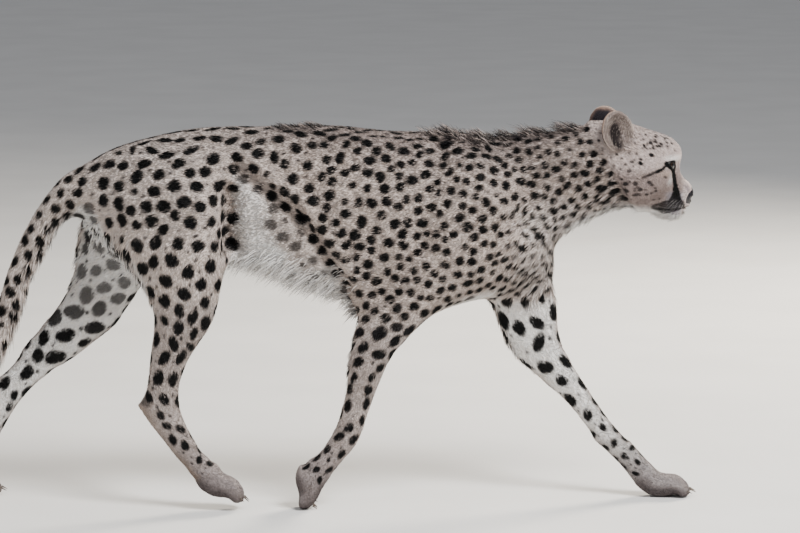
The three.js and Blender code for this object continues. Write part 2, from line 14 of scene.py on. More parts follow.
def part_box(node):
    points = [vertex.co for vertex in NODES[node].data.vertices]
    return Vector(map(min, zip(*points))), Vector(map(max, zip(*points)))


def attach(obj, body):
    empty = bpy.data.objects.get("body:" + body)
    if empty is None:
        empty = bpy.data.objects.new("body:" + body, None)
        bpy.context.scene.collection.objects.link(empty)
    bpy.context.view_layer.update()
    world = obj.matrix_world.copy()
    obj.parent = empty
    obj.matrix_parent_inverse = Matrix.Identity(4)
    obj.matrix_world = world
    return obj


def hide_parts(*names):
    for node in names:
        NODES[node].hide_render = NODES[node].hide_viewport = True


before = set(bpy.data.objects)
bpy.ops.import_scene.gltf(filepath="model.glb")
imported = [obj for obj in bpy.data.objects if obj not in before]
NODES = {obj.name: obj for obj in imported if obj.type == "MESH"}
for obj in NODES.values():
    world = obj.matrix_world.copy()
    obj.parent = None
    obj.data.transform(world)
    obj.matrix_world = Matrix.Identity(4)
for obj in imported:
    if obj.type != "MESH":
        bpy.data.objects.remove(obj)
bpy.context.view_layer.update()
SIDES = {"left": 1.0, "right": -1.0}
UP = np.array([0.0, 0.0, 1.0])

EYES = ["eye_left", "eye_right"]
CLAWS = sorted(n for n in NODES if n.startswith("claw_"))
FLESH = sorted(n for n in NODES if n not in EYES + CLAWS)


# ---- Small helpers -------------------------------------------------------------------------

def unit(v):
    v = np.asarray(v, float)
    return v / np.maximum(np.linalg.norm(v, axis=-1, keepdims=True), 1e-9)


def dot(a, b):
    return (a * b).sum(-1)


def smoothstep(low, high, x):
    t = np.clip((x - low) / (high - low), 0, 1)
    return t * t * (3 - 2 * t)


def linear(r, g, b):
    """A colour given as 0 to 255 on screen, as the linear values that shaders use."""
    c = np.array([r, g, b]) / 255.0
    return np.where(c <= 0.04045, c / 12.92, ((c + 0.055) / 1.055) ** 2.4)


def mix(a, b, amount):
    amount = np.asarray(amount)[..., None]
    return a * (1 - amount) + b * amount


def glaze(colour, *coats):
    """Lays colours over each other in turn, each by its own amount."""
    for tint, amount in coats:
        colour = mix(colour, tint, amount)
    return colour


def centre(node):
    low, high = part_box(node)
    return (np.array(low) + np.array(high)) / 2


def family(node):
    return node.split("_")[0]


def side_of(node):
    return 1.0 if "left" in node else -1.0 if "right" in node else 0.0


def wobble(points, wavelength, seed, waves=6):
    """A smooth pattern that repeats for each seed, from about -1 to 1."""
    rng = np.random.default_rng(seed)
    total = np.zeros(len(points))
    for _ in range(waves):
        way = unit(rng.normal(size=3)) * rng.uniform(0.7, 1.5) * 2 * math.pi / wavelength
        total += np.sin(points @ way + rng.uniform(0, 2 * math.pi))
    return total / waves ** 0.5 / 1.4


def bump_at(points, at, radii, amount):
    """A soft hill or hollow, for points in the same axes as its centre."""
    d = (points - np.array(at)) / np.array(radii)
    return amount * np.exp(-dot(d, d))


def off_segment(p, a, b):
    """Distance from each point to a segment, and how far along it the nearest place is."""
    a, b = np.array(a, float), np.array(b, float)
    t = np.clip((p - a) @ (b - a) / max(dot(b - a, b - a), 1e-12), 0, 1)
    return np.linalg.norm(p - a - t[:, None] * (b - a), axis=1), t


class Relax:
    """Averages values over a mesh's neighbours."""

    def __init__(self, count, edges):
        self.a = np.concatenate([edges[:, 0], edges[:, 1]])
        self.b = np.concatenate([edges[:, 1], edges[:, 0]])
        self.count = count
        self.valence = np.maximum(np.bincount(self.a, minlength=count), 1)

    def mean(self, values):
        if values.ndim == 1:
            return np.bincount(self.a, values[self.b], self.count) / self.valence
        columns = [self.mean(values[:, i]) for i in range(values.shape[1])]
        return np.stack(columns, 1)

    def smooth(self, values, rounds, strength=0.7):
        for step in range(int(np.max(rounds))):
            pull = strength * (step < rounds) if np.ndim(rounds) else strength
            pull = pull[:, None] if np.ndim(pull) and values.ndim > 1 else pull
            values = values + pull * (self.mean(values) - values)
        return values


def read(items, key, width, kind=np.float32):
    """One value of every item of a mesh, with a row for each item."""
    values = np.empty(len(items) * width, kind)
    items.foreach_get(key, values)
    return values.reshape(-1, width)


def mesh_arrays(mesh):
    co = read(mesh.vertices, "co", 3).astype(np.float64)
    return co, read(mesh.edges, "vertices", 2, np.int32)


def set_points(mesh, co):
    mesh.vertices.foreach_set("co", co.astype(np.float32).ravel())
    mesh.update()


def normals_of(mesh):
    return read(mesh.vertices, "normal", 3).astype(np.float64)


def link(name, data):
    obj = bpy.data.objects.new(name, data)
    bpy.context.scene.collection.objects.link(obj)
    return obj


def tree_of(points):
    tree = KDTree(len(points))
    for i, p in enumerate(points):
        tree.insert(Vector(p), i)
    tree.balance()
    return tree


def nearest(surface, points):
    """The nearest place on a surface to each point, the normal there and the face's number."""
    hits = [surface.find_nearest(Vector(p)) for p in points]
    return [np.array([h[i] for h in hits]) for i in range(3)]


# ---- The head's own axes: forward, left and up from between the eyes --------------------------

EYE = {s: centre(f"eye_{s}") for s in SIDES}
EYE_RADIUS = float((np.array(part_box("eye_left")[1]) - np.array(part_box("eye_left")[0]))[2] / 2)
BETWEEN_EYES = (EYE["left"] + EYE["right"]) / 2
H_LEFT = unit(EYE["left"] - EYE["right"])
H_FRONT = unit(np.cross(H_LEFT, UP))


def in_head(points):
    d = points - BETWEEN_EYES
    return np.stack([d @ H_FRONT, d @ H_LEFT, d @ UP], -1)


def from_head(forward, left, up):
    return BETWEEN_EYES + forward * H_FRONT + left * H_LEFT + up * UP


def head_way(forward, left, up):
    return unit(forward * H_FRONT + left * H_LEFT + up * UP)


# Each eye's axes: its gaze, the way along the slit from the outer corner to the inner, and up.
GAZE = {s: head_way(0.76, 0.64 * k, -0.03) for s, k in SIDES.items()}
SLIT = {}
LID_UP = {}
for hand, k in SIDES.items():
    slit = head_way(0.56, -0.66 * k, -0.50)
    SLIT[hand] = unit(slit - dot(slit, GAZE[hand]) * GAZE[hand])
    LID_UP[hand] = unit(np.cross(SLIT[hand], GAZE[hand]) * k)
SLIT_HALF, UPPER_LID, LOWER_LID = 1.0, 0.44, 0.40  # radians from the gaze


def off_lids(points, hand):
    """Distance outside the lids' opening, in metres; it is below zero on the open eye."""
    d = points - EYE[hand]
    g = np.maximum(d @ GAZE[hand], 1e-4)
    x = np.arctan2(d @ SLIT[hand], g)
    y = np.arctan2(d @ LID_UP[hand], g)
    bow = np.clip(1 - (x / SLIT_HALF) ** 2, 0, 1) ** 0.8
    edge = np.where(y > 0, UPPER_LID, LOWER_LID) * bow
    beyond = np.maximum(np.abs(x) - SLIT_HALF, 0)
    off = np.where(beyond > 0, np.hypot(beyond, y), np.abs(y) - edge)
    off = np.where(d @ GAZE[hand] < 0, 2.0, off)
    return off * EYE_RADIUS + np.maximum(np.linalg.norm(d, axis=1) - EYE_RADIUS - 0.0035, 0)


def off_eyes(points):
    return np.minimum(off_lids(points, "left"), off_lids(points, "right"))


def vertex_at(h, among, forward, up):
    """The vertex nearest to a place on the side of the head; all in mm."""
    return among[np.argmin(np.hypot(h[among, 0] - forward, h[among, 2] - up))]


# ---- The skin's form ---------------------------------------------------------------------------

VOXEL = 0.0026
SWELL = 0.0005  # closes the gaps between the nodes of flesh
SKIN_TRIANGLES = 150000

# For each family of nodes: how deep the coat is, and how far the facets are smoothed out.
BUILD = {
    "trunk": (0.0048, 40), "neck": (0.0065, 30), "head": (0.0014, 8), "nose": (0.0004, 4),
    "tail": (0.0055, 10), "thigh": (0.0042, 22), "forearm": (0.0028, 12), "shank": (0.0028, 12),
    "pastern": (0.0018, 10), "paw": (0.0012, 3), "ear": (-0.0006, 2),
}


def flesh_mesh():
    """Every node of flesh, a little swollen so that neighbours overlap, and the eyes as fill."""
    whole = bmesh.new()
    for name in FLESH + EYES:
        part = bmesh.new()
        part.from_mesh(NODES[name].data)
        bmesh.ops.remove_doubles(part, verts=part.verts, dist=1e-5)
        part.normal_update()
        for v in part.verts:
            v.co += v.normal * SWELL
        mesh = bpy.data.meshes.new("part")
        part.to_mesh(mesh)
        part.free()
        whole.from_mesh(mesh)
        bpy.data.meshes.remove(mesh)
    mesh = bpy.data.meshes.new("skin")
    whole.to_mesh(mesh)
    whole.free()
    return mesh


def node_finder():
    """The CAD surfaces in one tree, with the node that each face belongs to."""
    points, faces, owner = [], [], []
    for index, name in enumerate(FLESH):
        mesh = NODES[name].data
        start = len(points)
        points.extend(v.co.copy() for v in mesh.vertices)
        for p in mesh.polygons:
            faces.append([start + i for i in p.vertices])
            owner.append(index)
    return BVHTree.FromPolygons(points, faces), np.array(owner)


FINDER, OWNER = node_finder()


def nearest_nodes(points):
    return OWNER[nearest(FINDER, points)[2]]


def by_node(owners, rule):
    """A value for each vertex from a rule that gives one for each node's name."""
    return np.array([rule(n) for n in FLESH], float)[owners]


def apply_modifiers(obj):
    bpy.context.view_layer.objects.active = obj
    for modifier in list(obj.modifiers):
        bpy.ops.object.modifier_apply(modifier=modifier.name)


def split_edges_near(mesh, centres):
    """Halves the edges inside any of the balls (centre, radius)."""
    bm = bmesh.new()
    bm.from_mesh(mesh)
    co = np.array([v.co for v in bm.verts])
    near = np.zeros(len(co), bool)
    for at, radius in centres:
        near |= np.linalg.norm(co - at, axis=1) < radius
    bm.verts.ensure_lookup_table()
    edges = [e for e in bm.edges if near[e.verts[0].index] and near[e.verts[1].index]]
    bmesh.ops.subdivide_edges(bm, edges=edges, cuts=1, smooth=0)
    bmesh.ops.triangulate(bm, faces=[f for f in bm.faces if len(f.verts) > 3])
    bm.to_mesh(mesh)
    bm.free()


def rough_skin():
    skin = link("skin", flesh_mesh())
    bpy.context.view_layer.objects.active = skin
    skin.data.remesh_voxel_size = VOXEL
    skin.data.use_remesh_preserve_volume = False
    bpy.ops.object.voxel_remesh()
    co, edges = mesh_arrays(skin.data)
    set_points(skin.data, Relax(len(co), edges).smooth(co, 4))

    # The mesh is thinned out where the form is plain, and kept fine on the face and the feet.
    # A little noise, smoothed away later, keeps the flat places from being thinned more than the rest.
    group = skin.vertex_groups.new(name="plain")
    plain = np.ones(len(co))
    for name in FLESH:
        if family(name) in ("head", "nose", "ear", "paw"):
            low, high = (np.array(c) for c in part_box(name))
            inside = ((co > low - 0.012) & (co < high + 0.012)).all(1)
            plain[inside] = {"paw": 0.12, "head": 0.3}.get(family(name), 0.05)
    plain[in_head(co)[:, 0] > -0.055] = 0.05
    for level in (0.05, 0.12, 0.3, 1.0):
        group.add(np.flatnonzero(plain == level).tolist(), level, "REPLACE")
    noise = np.random.default_rng(3).normal(0, 0.0006, len(co)) * (plain == 1.0)
    set_points(skin.data, mesh_arrays(skin.data)[0] + normals_of(skin.data) * noise[:, None])
    thin = skin.modifiers.new("thin", "DECIMATE")
    thin.vertex_group = "plain"
    thin.use_collapse_triangulate = True
    thin.ratio = SKIN_TRIANGLES / (2 * len(skin.data.polygons))
    apply_modifiers(skin)
    skin.vertex_groups.clear()
    muzzle = from_head(0.030, 0, -0.070)
    split_edges_near(skin.data, [(EYE["left"], 0.030), (EYE["right"], 0.030), (muzzle, 0.048)])
    nostrils = from_head(0.056, 0, -0.068)
    balls = [(EYE[s] + GAZE[s] * 0.010, 0.021) for s in SIDES] + [(nostrils, 0.019)]
    split_edges_near(skin.data, balls)
    return skin


# Hills and hollows of the head, on both sides: where (forward, out, up), radii, height, in mm.
HEAD_FORMS = [
    ((8, 34, -3), (20, 18, 15), -3.2),  # the eye sits deep
    ((10, 30, 16), (18, 14, 7), 4.2),  # brow
    ((-20, 44, 3), (14, 10, 8), 1.6),
    ((-14, 46, -20), (26, 14, 10), 3.2),  # cheekbone
    ((-52, 50, -12), (26, 16, 10), 2.6),
    ((-40, 46, 22), (24, 16, 14), -2.0),  # temple
    ((-78, 52, -46), (34, 22, 26), 4.0),  # jaw muscle
    ((-34, 38, -66), (16, 12, 14), -2.6),
    ((30, 20, -46), (14, 8, 12), -2.4),  # beside the bridge of the nose
    ((24, 23, -76), (19, 12, 11), 4.2),  # whisker pad
    ((42, 14, -78), (10, 9, 8), 2.2),
    ((0, 27, -84), (14, 10, 7), 1.8),
    ((22, 12, -106), (18, 12, 8), 2.0),  # chin
    ((44, 0, -52), (12, 5, 14), 0.8),
    ((20, 0, 24), (30, 4, 16), -0.9),  # middle of the brow
    ((56, 12, -74), (5, 4, 6), 1.4),  # wing of the nose
    ((50, 6, -85), (10, 14, 8), 4.2),  # upper lip, under the nose
]
MOUTH = [(-34, -90), (-26, -92), (4, -96), (32, -94), (50, -91), (70, -90)]  # forward, up, in mm


def mouth_height(forward):
    return np.interp(forward, [f / 1000 for f, _ in MOUTH], [u / 1000 for _, u in MOUTH])


def shape_head(co, n, weight):
    h = in_head(co)
    h[:, 1] = np.abs(h[:, 1])
    rise = np.zeros(len(co))
    for at, radii, height in HEAD_FORMS:
        rise += bump_at(h, np.array(at) / 1000, np.array(radii) / 1000, height / 1000)
    front = smoothstep(-0.034, -0.022, h[:, 0]) * smoothstep(0.075, 0.065, h[:, 0])
    off = h[:, 2] - mouth_height(h[:, 0])
    rise -= 0.0034 * np.exp(-(off / 0.0019) ** 2) * front
    rise += 0.0012 * np.exp(-((off - 0.0048) / 0.003) ** 2) * front
    rise += 0.0016 * np.exp(-((off + 0.0052) / 0.003) ** 2) * front
    cleft = smoothstep(0.036, 0.046, h[:, 0]) * smoothstep(-0.070, -0.078, h[:, 2])
    cleft *= smoothstep(-0.093, -0.089, h[:, 2])
    rise -= 0.0016 * np.exp(-(h[:, 1] / 0.0013) ** 2) * cleft
    # The nostrils open to the front and run back in a slit.
    off, t = off_segment(h, (0.063, 0.0075, -0.075), (0.049, 0.0155, -0.070))
    rise -= 0.0050 * np.exp(-(off / (0.0036 - 0.0018 * t)) ** 2)
    rise += 0.0012 * np.exp(-((off - 0.0062) / 0.0022) ** 2) * smoothstep(0.036, 0.046, h[:, 0])
    return co + n * (rise * weight)[:, None]


def shape_lids(co):
    """Lays the skin round each eyeball as two lids with a rim, and opens it between them."""
    for hand in SIDES:
        d = co - EYE[hand]
        reach = np.linalg.norm(d, axis=1)
        off = off_lids(co, hand)
        lid = EYE_RADIUS + np.interp(off, [-0.0006, 0.0006, 0.0022, 0.008],
                                     [-0.0022, 0.0014, 0.0019, 0.0030])
        hold = smoothstep(0.0105, 0.0030, off) * (reach < EYE_RADIUS + 0.018)
        co = co + unit(d) * ((lid - reach) * hold)[:, None]
    return co


# Creases and swells of the body's sides: from (x, z) to (x, z), half width, height, in mm.
BODY_FORMS = [
    ((325, 770), (285, 560), 26, -7),  # behind the shoulder
    ((285, 560), (190, 455), 20, -6),  # along the upper arm to the elbow
    ((372, 760), (440, 640), 24, 4.5),  # shoulder blade
    ((440, 640), (360, 560), 34, 5),
    ((500, 720), (520, 590), 22, -6),  # between the neck and the shoulder
    ((-106, 670), (-100, 545), 19, -26),  # flank
    ((-100, 722), (34, 610), 13, -13),  # the fold from the hip to the belly
    ((34, 610), (127, 463), 13, -11),
    ((-88, 755), (52, 638), 17, 8),
    ((52, 638), (146, 490), 17, 7),
    ((95, 710), (165, 530), 9, 1.6),
    ((130, 720), (200, 530), 9, -1.6),
    ((165, 725), (235, 540), 9, 1.4),
    ((-150, 745), (-215, 735), 22, 4.5),  # hip bone
    ((-190, 700), (-170, 600), 36, 4),  # thigh
    ((-240, 650), (-285, 500), 17, -5.5),  # hamstring
    ((-320, 640), (-330, 560), 24, 3.5),
    ((120, 770), (250, 780), 20, 2),
    ((-60, 775), (60, 775), 18, 2),
]


def shape_body(co, n, weight):
    flat = co[:, [0, 2]] * 1000
    rise = np.zeros(len(co))
    for start, end, width, height in BODY_FORMS:
        off, _ = off_segment(flat, start, end)
        rise += height * np.exp(-(off / width) ** 2)
    rise *= 1.35 * smoothstep(0.25, 0.75, np.abs(n[:, 1])) * weight / 1000
    return co + n * rise[:, None]


def limb_forms(co, n, lower):
    """Tendons and bones that show under the coat of the legs."""
    groove = np.abs(n[:, 1]) * smoothstep(0.4, 0.9, np.abs(n[:, 1]))
    return co - n * (0.0012 * groove * lower)[:, None]


TOE_LENGTH = 0.036
GROOVE_WIDTH = 0.0030
GROOVE_DEPTH = 0.0036


def toe_grooves(co):
    """From 0 to 1 in the grooves that run back between the toes, from between the claws."""
    groove = np.zeros(len(co))
    for paw in (n for n in FLESH if family(n) == "paw"):
        claws = [centre(c) for c in CLAWS if c.startswith(paw.replace("paw", "claw"))]
        back = unit((centre(paw) - np.mean(claws, 0)) * [1, 1, 0])
        for a, b in zip(claws, claws[1:]):
            across = unit((b - a) * [1, 1, 0])
            d = co - (a + b) / 2
            along = d @ back
            near = smoothstep(TOE_LENGTH, 0.4 * TOE_LENGTH, along) * (np.abs(along) < TOE_LENGTH)
            near = near * (np.abs(d[:, 2]) < TOE_LENGTH)
            groove = np.maximum(groove, near * np.exp(-((d @ across) / GROOVE_WIDTH) ** 2))
    return groove


def make_skin():
    """The skin object, with what the coat needs to know at each vertex."""
    s = SimpleNamespace(obj=rough_skin())
    mesh = s.obj.data
    co, edges = mesh_arrays(mesh)
    relax = Relax(len(co), edges)
    owners = nearest_nodes(co)

    def share(rounds, *families):
        return relax.smooth(by_node(owners, lambda m: family(m) in families), rounds)

    rounds = relax.smooth(by_node(owners, lambda m: BUILD[family(m)][1]), 10)
    fine = np.linalg.norm(co - from_head(0.03, 0, -0.05), axis=1)
    rounds = rounds + 22 * smoothstep(0.075, 0.055, fine)
    co = relax.smooth(co, rounds)
    set_points(mesh, co)
    n = normals_of(mesh)
    co = shape_body(co, n, share(12, "trunk", "neck", "thigh"))
    co = limb_forms(co, n, share(6, "pastern", "shank", "forearm"))
    depth = relax.smooth(by_node(owners, lambda m: BUILD[family(m)][0]), 12)
    x = co[:, 0]
    belly = smoothstep(0.21, 0.10, x) * smoothstep(-0.3, -0.8, n[:, 2]) * share(12, "trunk")
    throat = smoothstep(0.42, 0.52, x) * smoothstep(0.3, -0.3, n[:, 2])
    corner = bump_at(co[:, [0, 2]], (0.588, 0.545), (0.040, 0.030), 1.0)
    depth = depth + 0.007 * belly + share(12, "trunk", "neck") * (0.006 * throat + 0.010 * corner)
    co = co - n * depth[:, None]
    co = shape_head(co, n, share(8, "head", "nose"))
    co = shape_lids(co)
    co = co - n * (GROOVE_DEPTH * toe_grooves(co))[:, None]
    set_points(mesh, co)
    mesh.shade_smooth()
    s.co, s.n, s.owners, s.relax = co, normals_of(mesh), owners, relax
    s.tree = tree_of(co)
    return s


# ---- The lie of the coat -----------------------------------------------------------------------

def limb_way(chain, name):
    """Down the limb through the middles of its nodes."""
    middles = [centre(n) for n in chain]
    toes = [centre(c) for c in CLAWS if c.startswith("claw_" + chain[-1][4:])]
    middles.append(np.mean(toes, 0))
    i = chain.index(name)
    return unit(middles[i + 1] - middles[i])


def way_of_node():
    """The way the hair lies on each node of flesh."""
    ways = {
        "trunk": (-1.0, 0.0, -0.22), "neck": (-0.9, 0.0, -0.30), "head": (-0.9, 0.0, -0.1),
        "nose": (-0.7, 0.0, 0.7),
    }
    for hand in SIDES:
        fore = [f"forearm_{hand}", f"pastern_fore_{hand}", f"paw_fore_{hand}"]
        hind = [f"thigh_{hand}", f"shank_{hand}", f"pastern_hind_{hand}", f"paw_hind_{hand}"]
        for chain in (fore, hind):
            for name in chain:
                ways[name] = limb_way(chain, name)
        ways[f"thigh_{hand}"] = unit(np.array(ways[f"thigh_{hand}"]) + (-0.5, 0, -0.4))
        base = from_head(-0.125, 0.045 * SIDES[hand], 0.035)
        ways[f"ear_{hand}"] = unit(centre(f"ear_{hand}") - base)
    tail = [centre(n) for n in ("tail_base", "tail_middle", "tail_end")]
    ways["tail_base"] = unit(tail[1] - tail[0] + (-0.05, 0, 0))
    ways["tail_middle"] = unit(tail[1] - tail[0] + (0, 0, -0.2))
    ways["tail_end"] = unit(tail[2] - tail[1])
    return ways


def lay_coat(s):
    """The way the hair lies at each vertex, along the skin."""
    ways = way_of_node()
    lie = np.array([unit(ways[n]) for n in FLESH])[s.owners]
    is_head = by_node(s.owners, lambda m: family(m) in ("head", "nose")) > 0
    nose = from_head(0.062, 0, -0.062)
    away = unit(s.co - nose) + 0.25 * (-H_FRONT)
    lie[is_head] = unit(away)[is_head]
    lie = s.relax.smooth(lie, 30)
    lie = lie - dot(lie, s.n)[:, None] * s.n
    s.lie = unit(s.relax.smooth(unit(lie), 6))


# ---- Markings, and painted shade ---------------------------------------------------------------

BLACK = linear(8, 7, 11)
BUFF = linear(202, 187, 178)
# The back's own darker tone, also used as painted shade on the neck.
BACK_TONE_AND_NECK_SHADE = linear(160, 146, 140)
THIGH = linear(216, 203, 195)
# The outer sides of the legs, darkened as painted shade.
LEG_WITH_SHADE = linear(183, 171, 165)
WHITE = linear(243, 240, 237)
# The hock's own brown, also used as painted shade in the flank's hollow.
HOCK_AND_FLANK_SHADE = linear(140, 121, 107)
BROW = linear(196, 181, 175)
# The cheek's brown and the muzzle's grey are both darkened as painted shade.
CHEEK_WITH_SHADE = linear(150, 135, 130)
MUZZLE_WITH_SHADE = linear(158, 152, 157)
PAW = linear(132, 123, 122)
# The pads' own dark colour, also used as painted shade on the paws.
SOLE_AND_PAW_SHADE = linear(78, 69, 70)


def coat_grounds(s):
    """The colour of the coat between its spots, at each vertex."""
    co, n, relax = s.co, s.n, s.relax
    x, z = co[:, 0], co[:, 2]
    wide = relax.smooth(n, 24)
    under = -wide[:, 2] + 0.16 * wobble(co, 0.09, 3) + 0.07 * wobble(co, 0.025, 4)
    s.member = m = {f: relax.smooth(by_node(s.owners, lambda node: family(node) == f), 10)
                    for f in BUILD}
    side = np.sign(by_node(s.owners, side_of))
    inner = -wide[:, 1] * side + 0.15 * wobble(co, 0.08, 5)
    leg = m["forearm"] + m["shank"] + m["pastern"] + m["paw"]
    s.inner = inner * np.clip(leg + m["thigh"], 0, 1)

    belly_line = np.interp(x, [-0.2, 0.0, 0.2, 0.45, 0.56, 0.7], [0.20, 0.14, 0.60, 0.70, 0.56, 0.60])
    s.white = smoothstep(belly_line, belly_line + 0.34, under)
    fold = np.interp(x, [-0.105, -0.100, 0.034, 0.127, 0.135], [0.40, 0.715, 0.603, 0.460, 0.40])
    s.pale = smoothstep(-0.006, 0.022, fold - z) * smoothstep(-0.112, -0.095, x) * m["trunk"]
    s.plain_flank = smoothstep(0.004, 0.020, fold - z) * smoothstep(-0.118, -0.100, x)
    s.plain_flank *= smoothstep(-0.015, -0.050, x) * m["trunk"]
    hollow, _ = off_segment(co[:, [0, 2]], (-0.108, 0.675), (-0.100, 0.575))
    s.chest = smoothstep(0.45, 0.53, x) * smoothstep(0.68, 0.60, z) * (m["trunk"] + m["neck"])
    foot = leg * smoothstep(0.19, 0.04, z + 0.012 * wobble(co, 0.05, 8))
    hind = relax.smooth(by_node(s.owners, lambda node: node.startswith("pastern_hind")), 8)
    s.plain_hock = hind * smoothstep(0.0, 0.5, -wide[:, 0])
    tail_end = relax.smooth(by_node(s.owners, lambda node: node == "tail_end"), 10)
    colour = glaze(
        BUFF,
        (BACK_TONE_AND_NECK_SHADE, smoothstep(0.25, 0.85, wide[:, 2])),
        (THIGH, 0.8 * smoothstep(0.1, -0.25, x)),
        (WHITE, s.white),
        (WHITE, 0.15 * s.pale * (1 - s.white)),
        # Painted shade in the hollow of the flank in front of the thigh.
        (HOCK_AND_FLANK_SHADE, 0.45 * smoothstep(0.024, 0.006, hollow) * (1 - 0.7 * s.white)),
        (WHITE, 0.6 * s.plain_flank),
        # Painted shade over the neck.
        (BACK_TONE_AND_NECK_SHADE, 0.4 * m["neck"] * (1 - s.white)),
        (WHITE, 0.28 * s.chest),
        # The legs' outer sides in a colour darkened as painted shade, white on their inner sides.
        (mix(LEG_WITH_SHADE, WHITE, smoothstep(0.0, 0.6, inner)), np.clip(leg, 0, 1)),
        (WHITE, m["thigh"] * smoothstep(0.1, 0.6, inner)),
        # The feet turn darker towards the ground. The pads' colour spreads up the lower sides of the paws
        # and into the grooves between the toes as painted shade.
        (PAW, 0.9 * np.clip(foot, 0, 1)),
        (SOLE_AND_PAW_SHADE, 0.8 * m["paw"] * smoothstep(-0.35, 0.45, under)),
        (SOLE_AND_PAW_SHADE, 0.6 * toe_grooves(co)),
        (HOCK_AND_FLANK_SHADE, hind * smoothstep(0.15, 0.75, -wide[:, 0]) * 0.8),
        (THIGH, m["tail"] * (1 - s.white)),
        (WHITE, tail_end * smoothstep(-0.79, -0.83, x)),
    )
    s.ground = colour * (1 + 0.05 * wobble(co, 0.12, 6) + 0.035 * wobble(co, 0.03, 7))[:, None]
    head_ground(s)
    ear_ground(s)


def patch(h, at, radii, soft=0.5):
    """From 0 outside to 1 inside an ellipsoid given in mm, in the head's axes."""
    d = (h * 1000 - np.array(at)) / np.array(radii)
    return smoothstep(1 + soft / 2, 1 - soft / 2, np.linalg.norm(d, axis=1))


def head_ground(s):
    """Brown cheeks and a grey muzzle, both darkened as painted shade, painted shade beside the bridge of
    the nose, and white round the eyes and under the jaw.
    """
    h = in_head(s.co)
    h[:, 1] = np.abs(h[:, 1])
    f, _, u = (h * 1000).T
    face = glaze(
        BROW,
        # The cheeks below the eyes, darkened as painted shade.
        (CHEEK_WITH_SHADE, smoothstep(5, -25, u)),
        (linear(186, 164, 148), patch(h, (-14, 46, -16), (22, 20, 8), 1.0) * 0.5),
        (WHITE, smoothstep(-84, -104, u + 0.10 * f)),
        # The muzzle's grey, darkened as painted shade.
        (MUZZLE_WITH_SHADE, smoothstep(-8, 12, f) * smoothstep(-50, -64, u)),
        (WHITE * 0.97, smoothstep(30, 50, f) * smoothstep(-84, -96, u)),
        (linear(206, 190, 182), smoothstep(30, 42, f) * smoothstep(20, 0, u) * 0.7),
        # Painted shade on the side of the bridge of the nose.
        (linear(136, 126, 134), patch(h, (42, 16, -56), (12, 11, 11), 1.0) * 0.75),
        (WHITE, patch(h, (-2, 30, 13), (30, 18, 9), 0.8)),
        (WHITE, patch(h, (-1, 36, -27), (12, 14, 16), 0.9) * 0.9),
        (WHITE, patch(h, (-26, 46, -16), (18, 12, 3.5), 1.2) * 0.35),
    )
    s.head = np.clip(s.member["head"] * 1.3 + s.member["nose"], 0, 1)
    s.ground = mix(s.ground, face, s.head)


def ear_ground(s):
    """Pale inside with painted shade in its hollow, dark behind, and a rim between the two."""
    ear = s.member["ear"]
    face_out, deep, deep_back, height = (np.zeros(len(s.co)) for _ in range(4))
    for hand, k in SIDES.items():
        low, high = (np.array(b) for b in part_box(f"ear_{hand}"))
        near = np.linalg.norm(s.co - (low + high) / 2, axis=1) < 0.07
        facing = head_way(0.36, 0.92 * k, 0.12)
        face_out[near] = (s.n @ facing)[near]
        middle = (low + high) / 2 - facing * 0.004 + np.array([-0.003, 0, -0.011])
        d = s.co - middle
        d = d - (d @ facing)[:, None] * facing
        wide = np.linalg.norm(d * [1.4, 1.4, 0.72], axis=1)
        deep[near] = smoothstep(0.029, 0.015, wide)[near]
        deep_back[near] = smoothstep(0.050, 0.034, wide)[near]
        height[near] = ((s.co[:, 2] - low[2]) / (high[2] - low[2]))[near]
    inside = ear * smoothstep(0.0, 0.5, face_out)
    back = ear * smoothstep(0.0, -0.5, face_out)
    rim = ear * smoothstep(0.32, 0.10, np.abs(face_out)) * smoothstep(0.3, 0.6, height)
    s.ground = glaze(
        s.ground,
        (linear(116, 104, 99), inside),
        # Painted shade in the hollow of the ear.
        (linear(34, 28, 28), inside * deep),
        (linear(126, 104, 94), back),
        (linear(34, 30, 34), back * smoothstep(0.97, 0.86, height) * deep_back),
        (linear(158, 134, 118), rim),
    )
    s.ear_inside, s.ear_deep, s.ear_height = inside, deep, height


class Spots:
    """Solid spots on the skin: where, how big, how long, which way, how dark."""

    def __init__(self):
        self.rows = []

    def add(self, at, way, n, radius, long, dark):
        self.rows.append((*at, *way, *n, radius, long, dark))

    def close(self):
        self.table = np.array(self.rows)
        rng = np.random.default_rng(77)
        self.phase = rng.uniform(0, 2 * math.pi, (len(self.table), 3))
        self.ragged = rng.uniform(0.3, 0.9, (len(self.table), 1)) * np.array([0.08, 0.055, 0.035])
        self.tree = tree_of(self.table[:, :3])

    def darkness(self, points, edge=0.0016):
        """How dark the spots make each point, from 0 to 1."""
        found = np.array([[hit[1] for hit in self.tree.find_n(Vector(p), 5)] for p in points])
        dark = np.zeros(len(points))
        for k in range(found.shape[1]):
            row = self.table[found[:, k]]
            d = points - row[:, :3]
            along = dot(d, row[:, 3:6])
            n = row[:, 6:9]
            across = dot(d, np.cross(n, row[:, 3:6]))
            lift = dot(d, n)
            radius, long = row[:, 9], row[:, 10]
            turn = np.arctan2(across * long, along)
            phase = self.phase[found[:, k]]
            ragged = self.ragged[found[:, k]]
            swing = sum(ragged[:, i] * np.sin((i + 2) * turn + phase[:, i]) for i in range(3))
            r = np.sqrt((along / long) ** 2 + (across * np.sqrt(long)) ** 2 + (0.4 * lift) ** 2)
            inside = smoothstep(edge, -edge, r - radius * (1 + swing)) * row[:, 11]
            dark = np.maximum(dark, inside)
        return dark


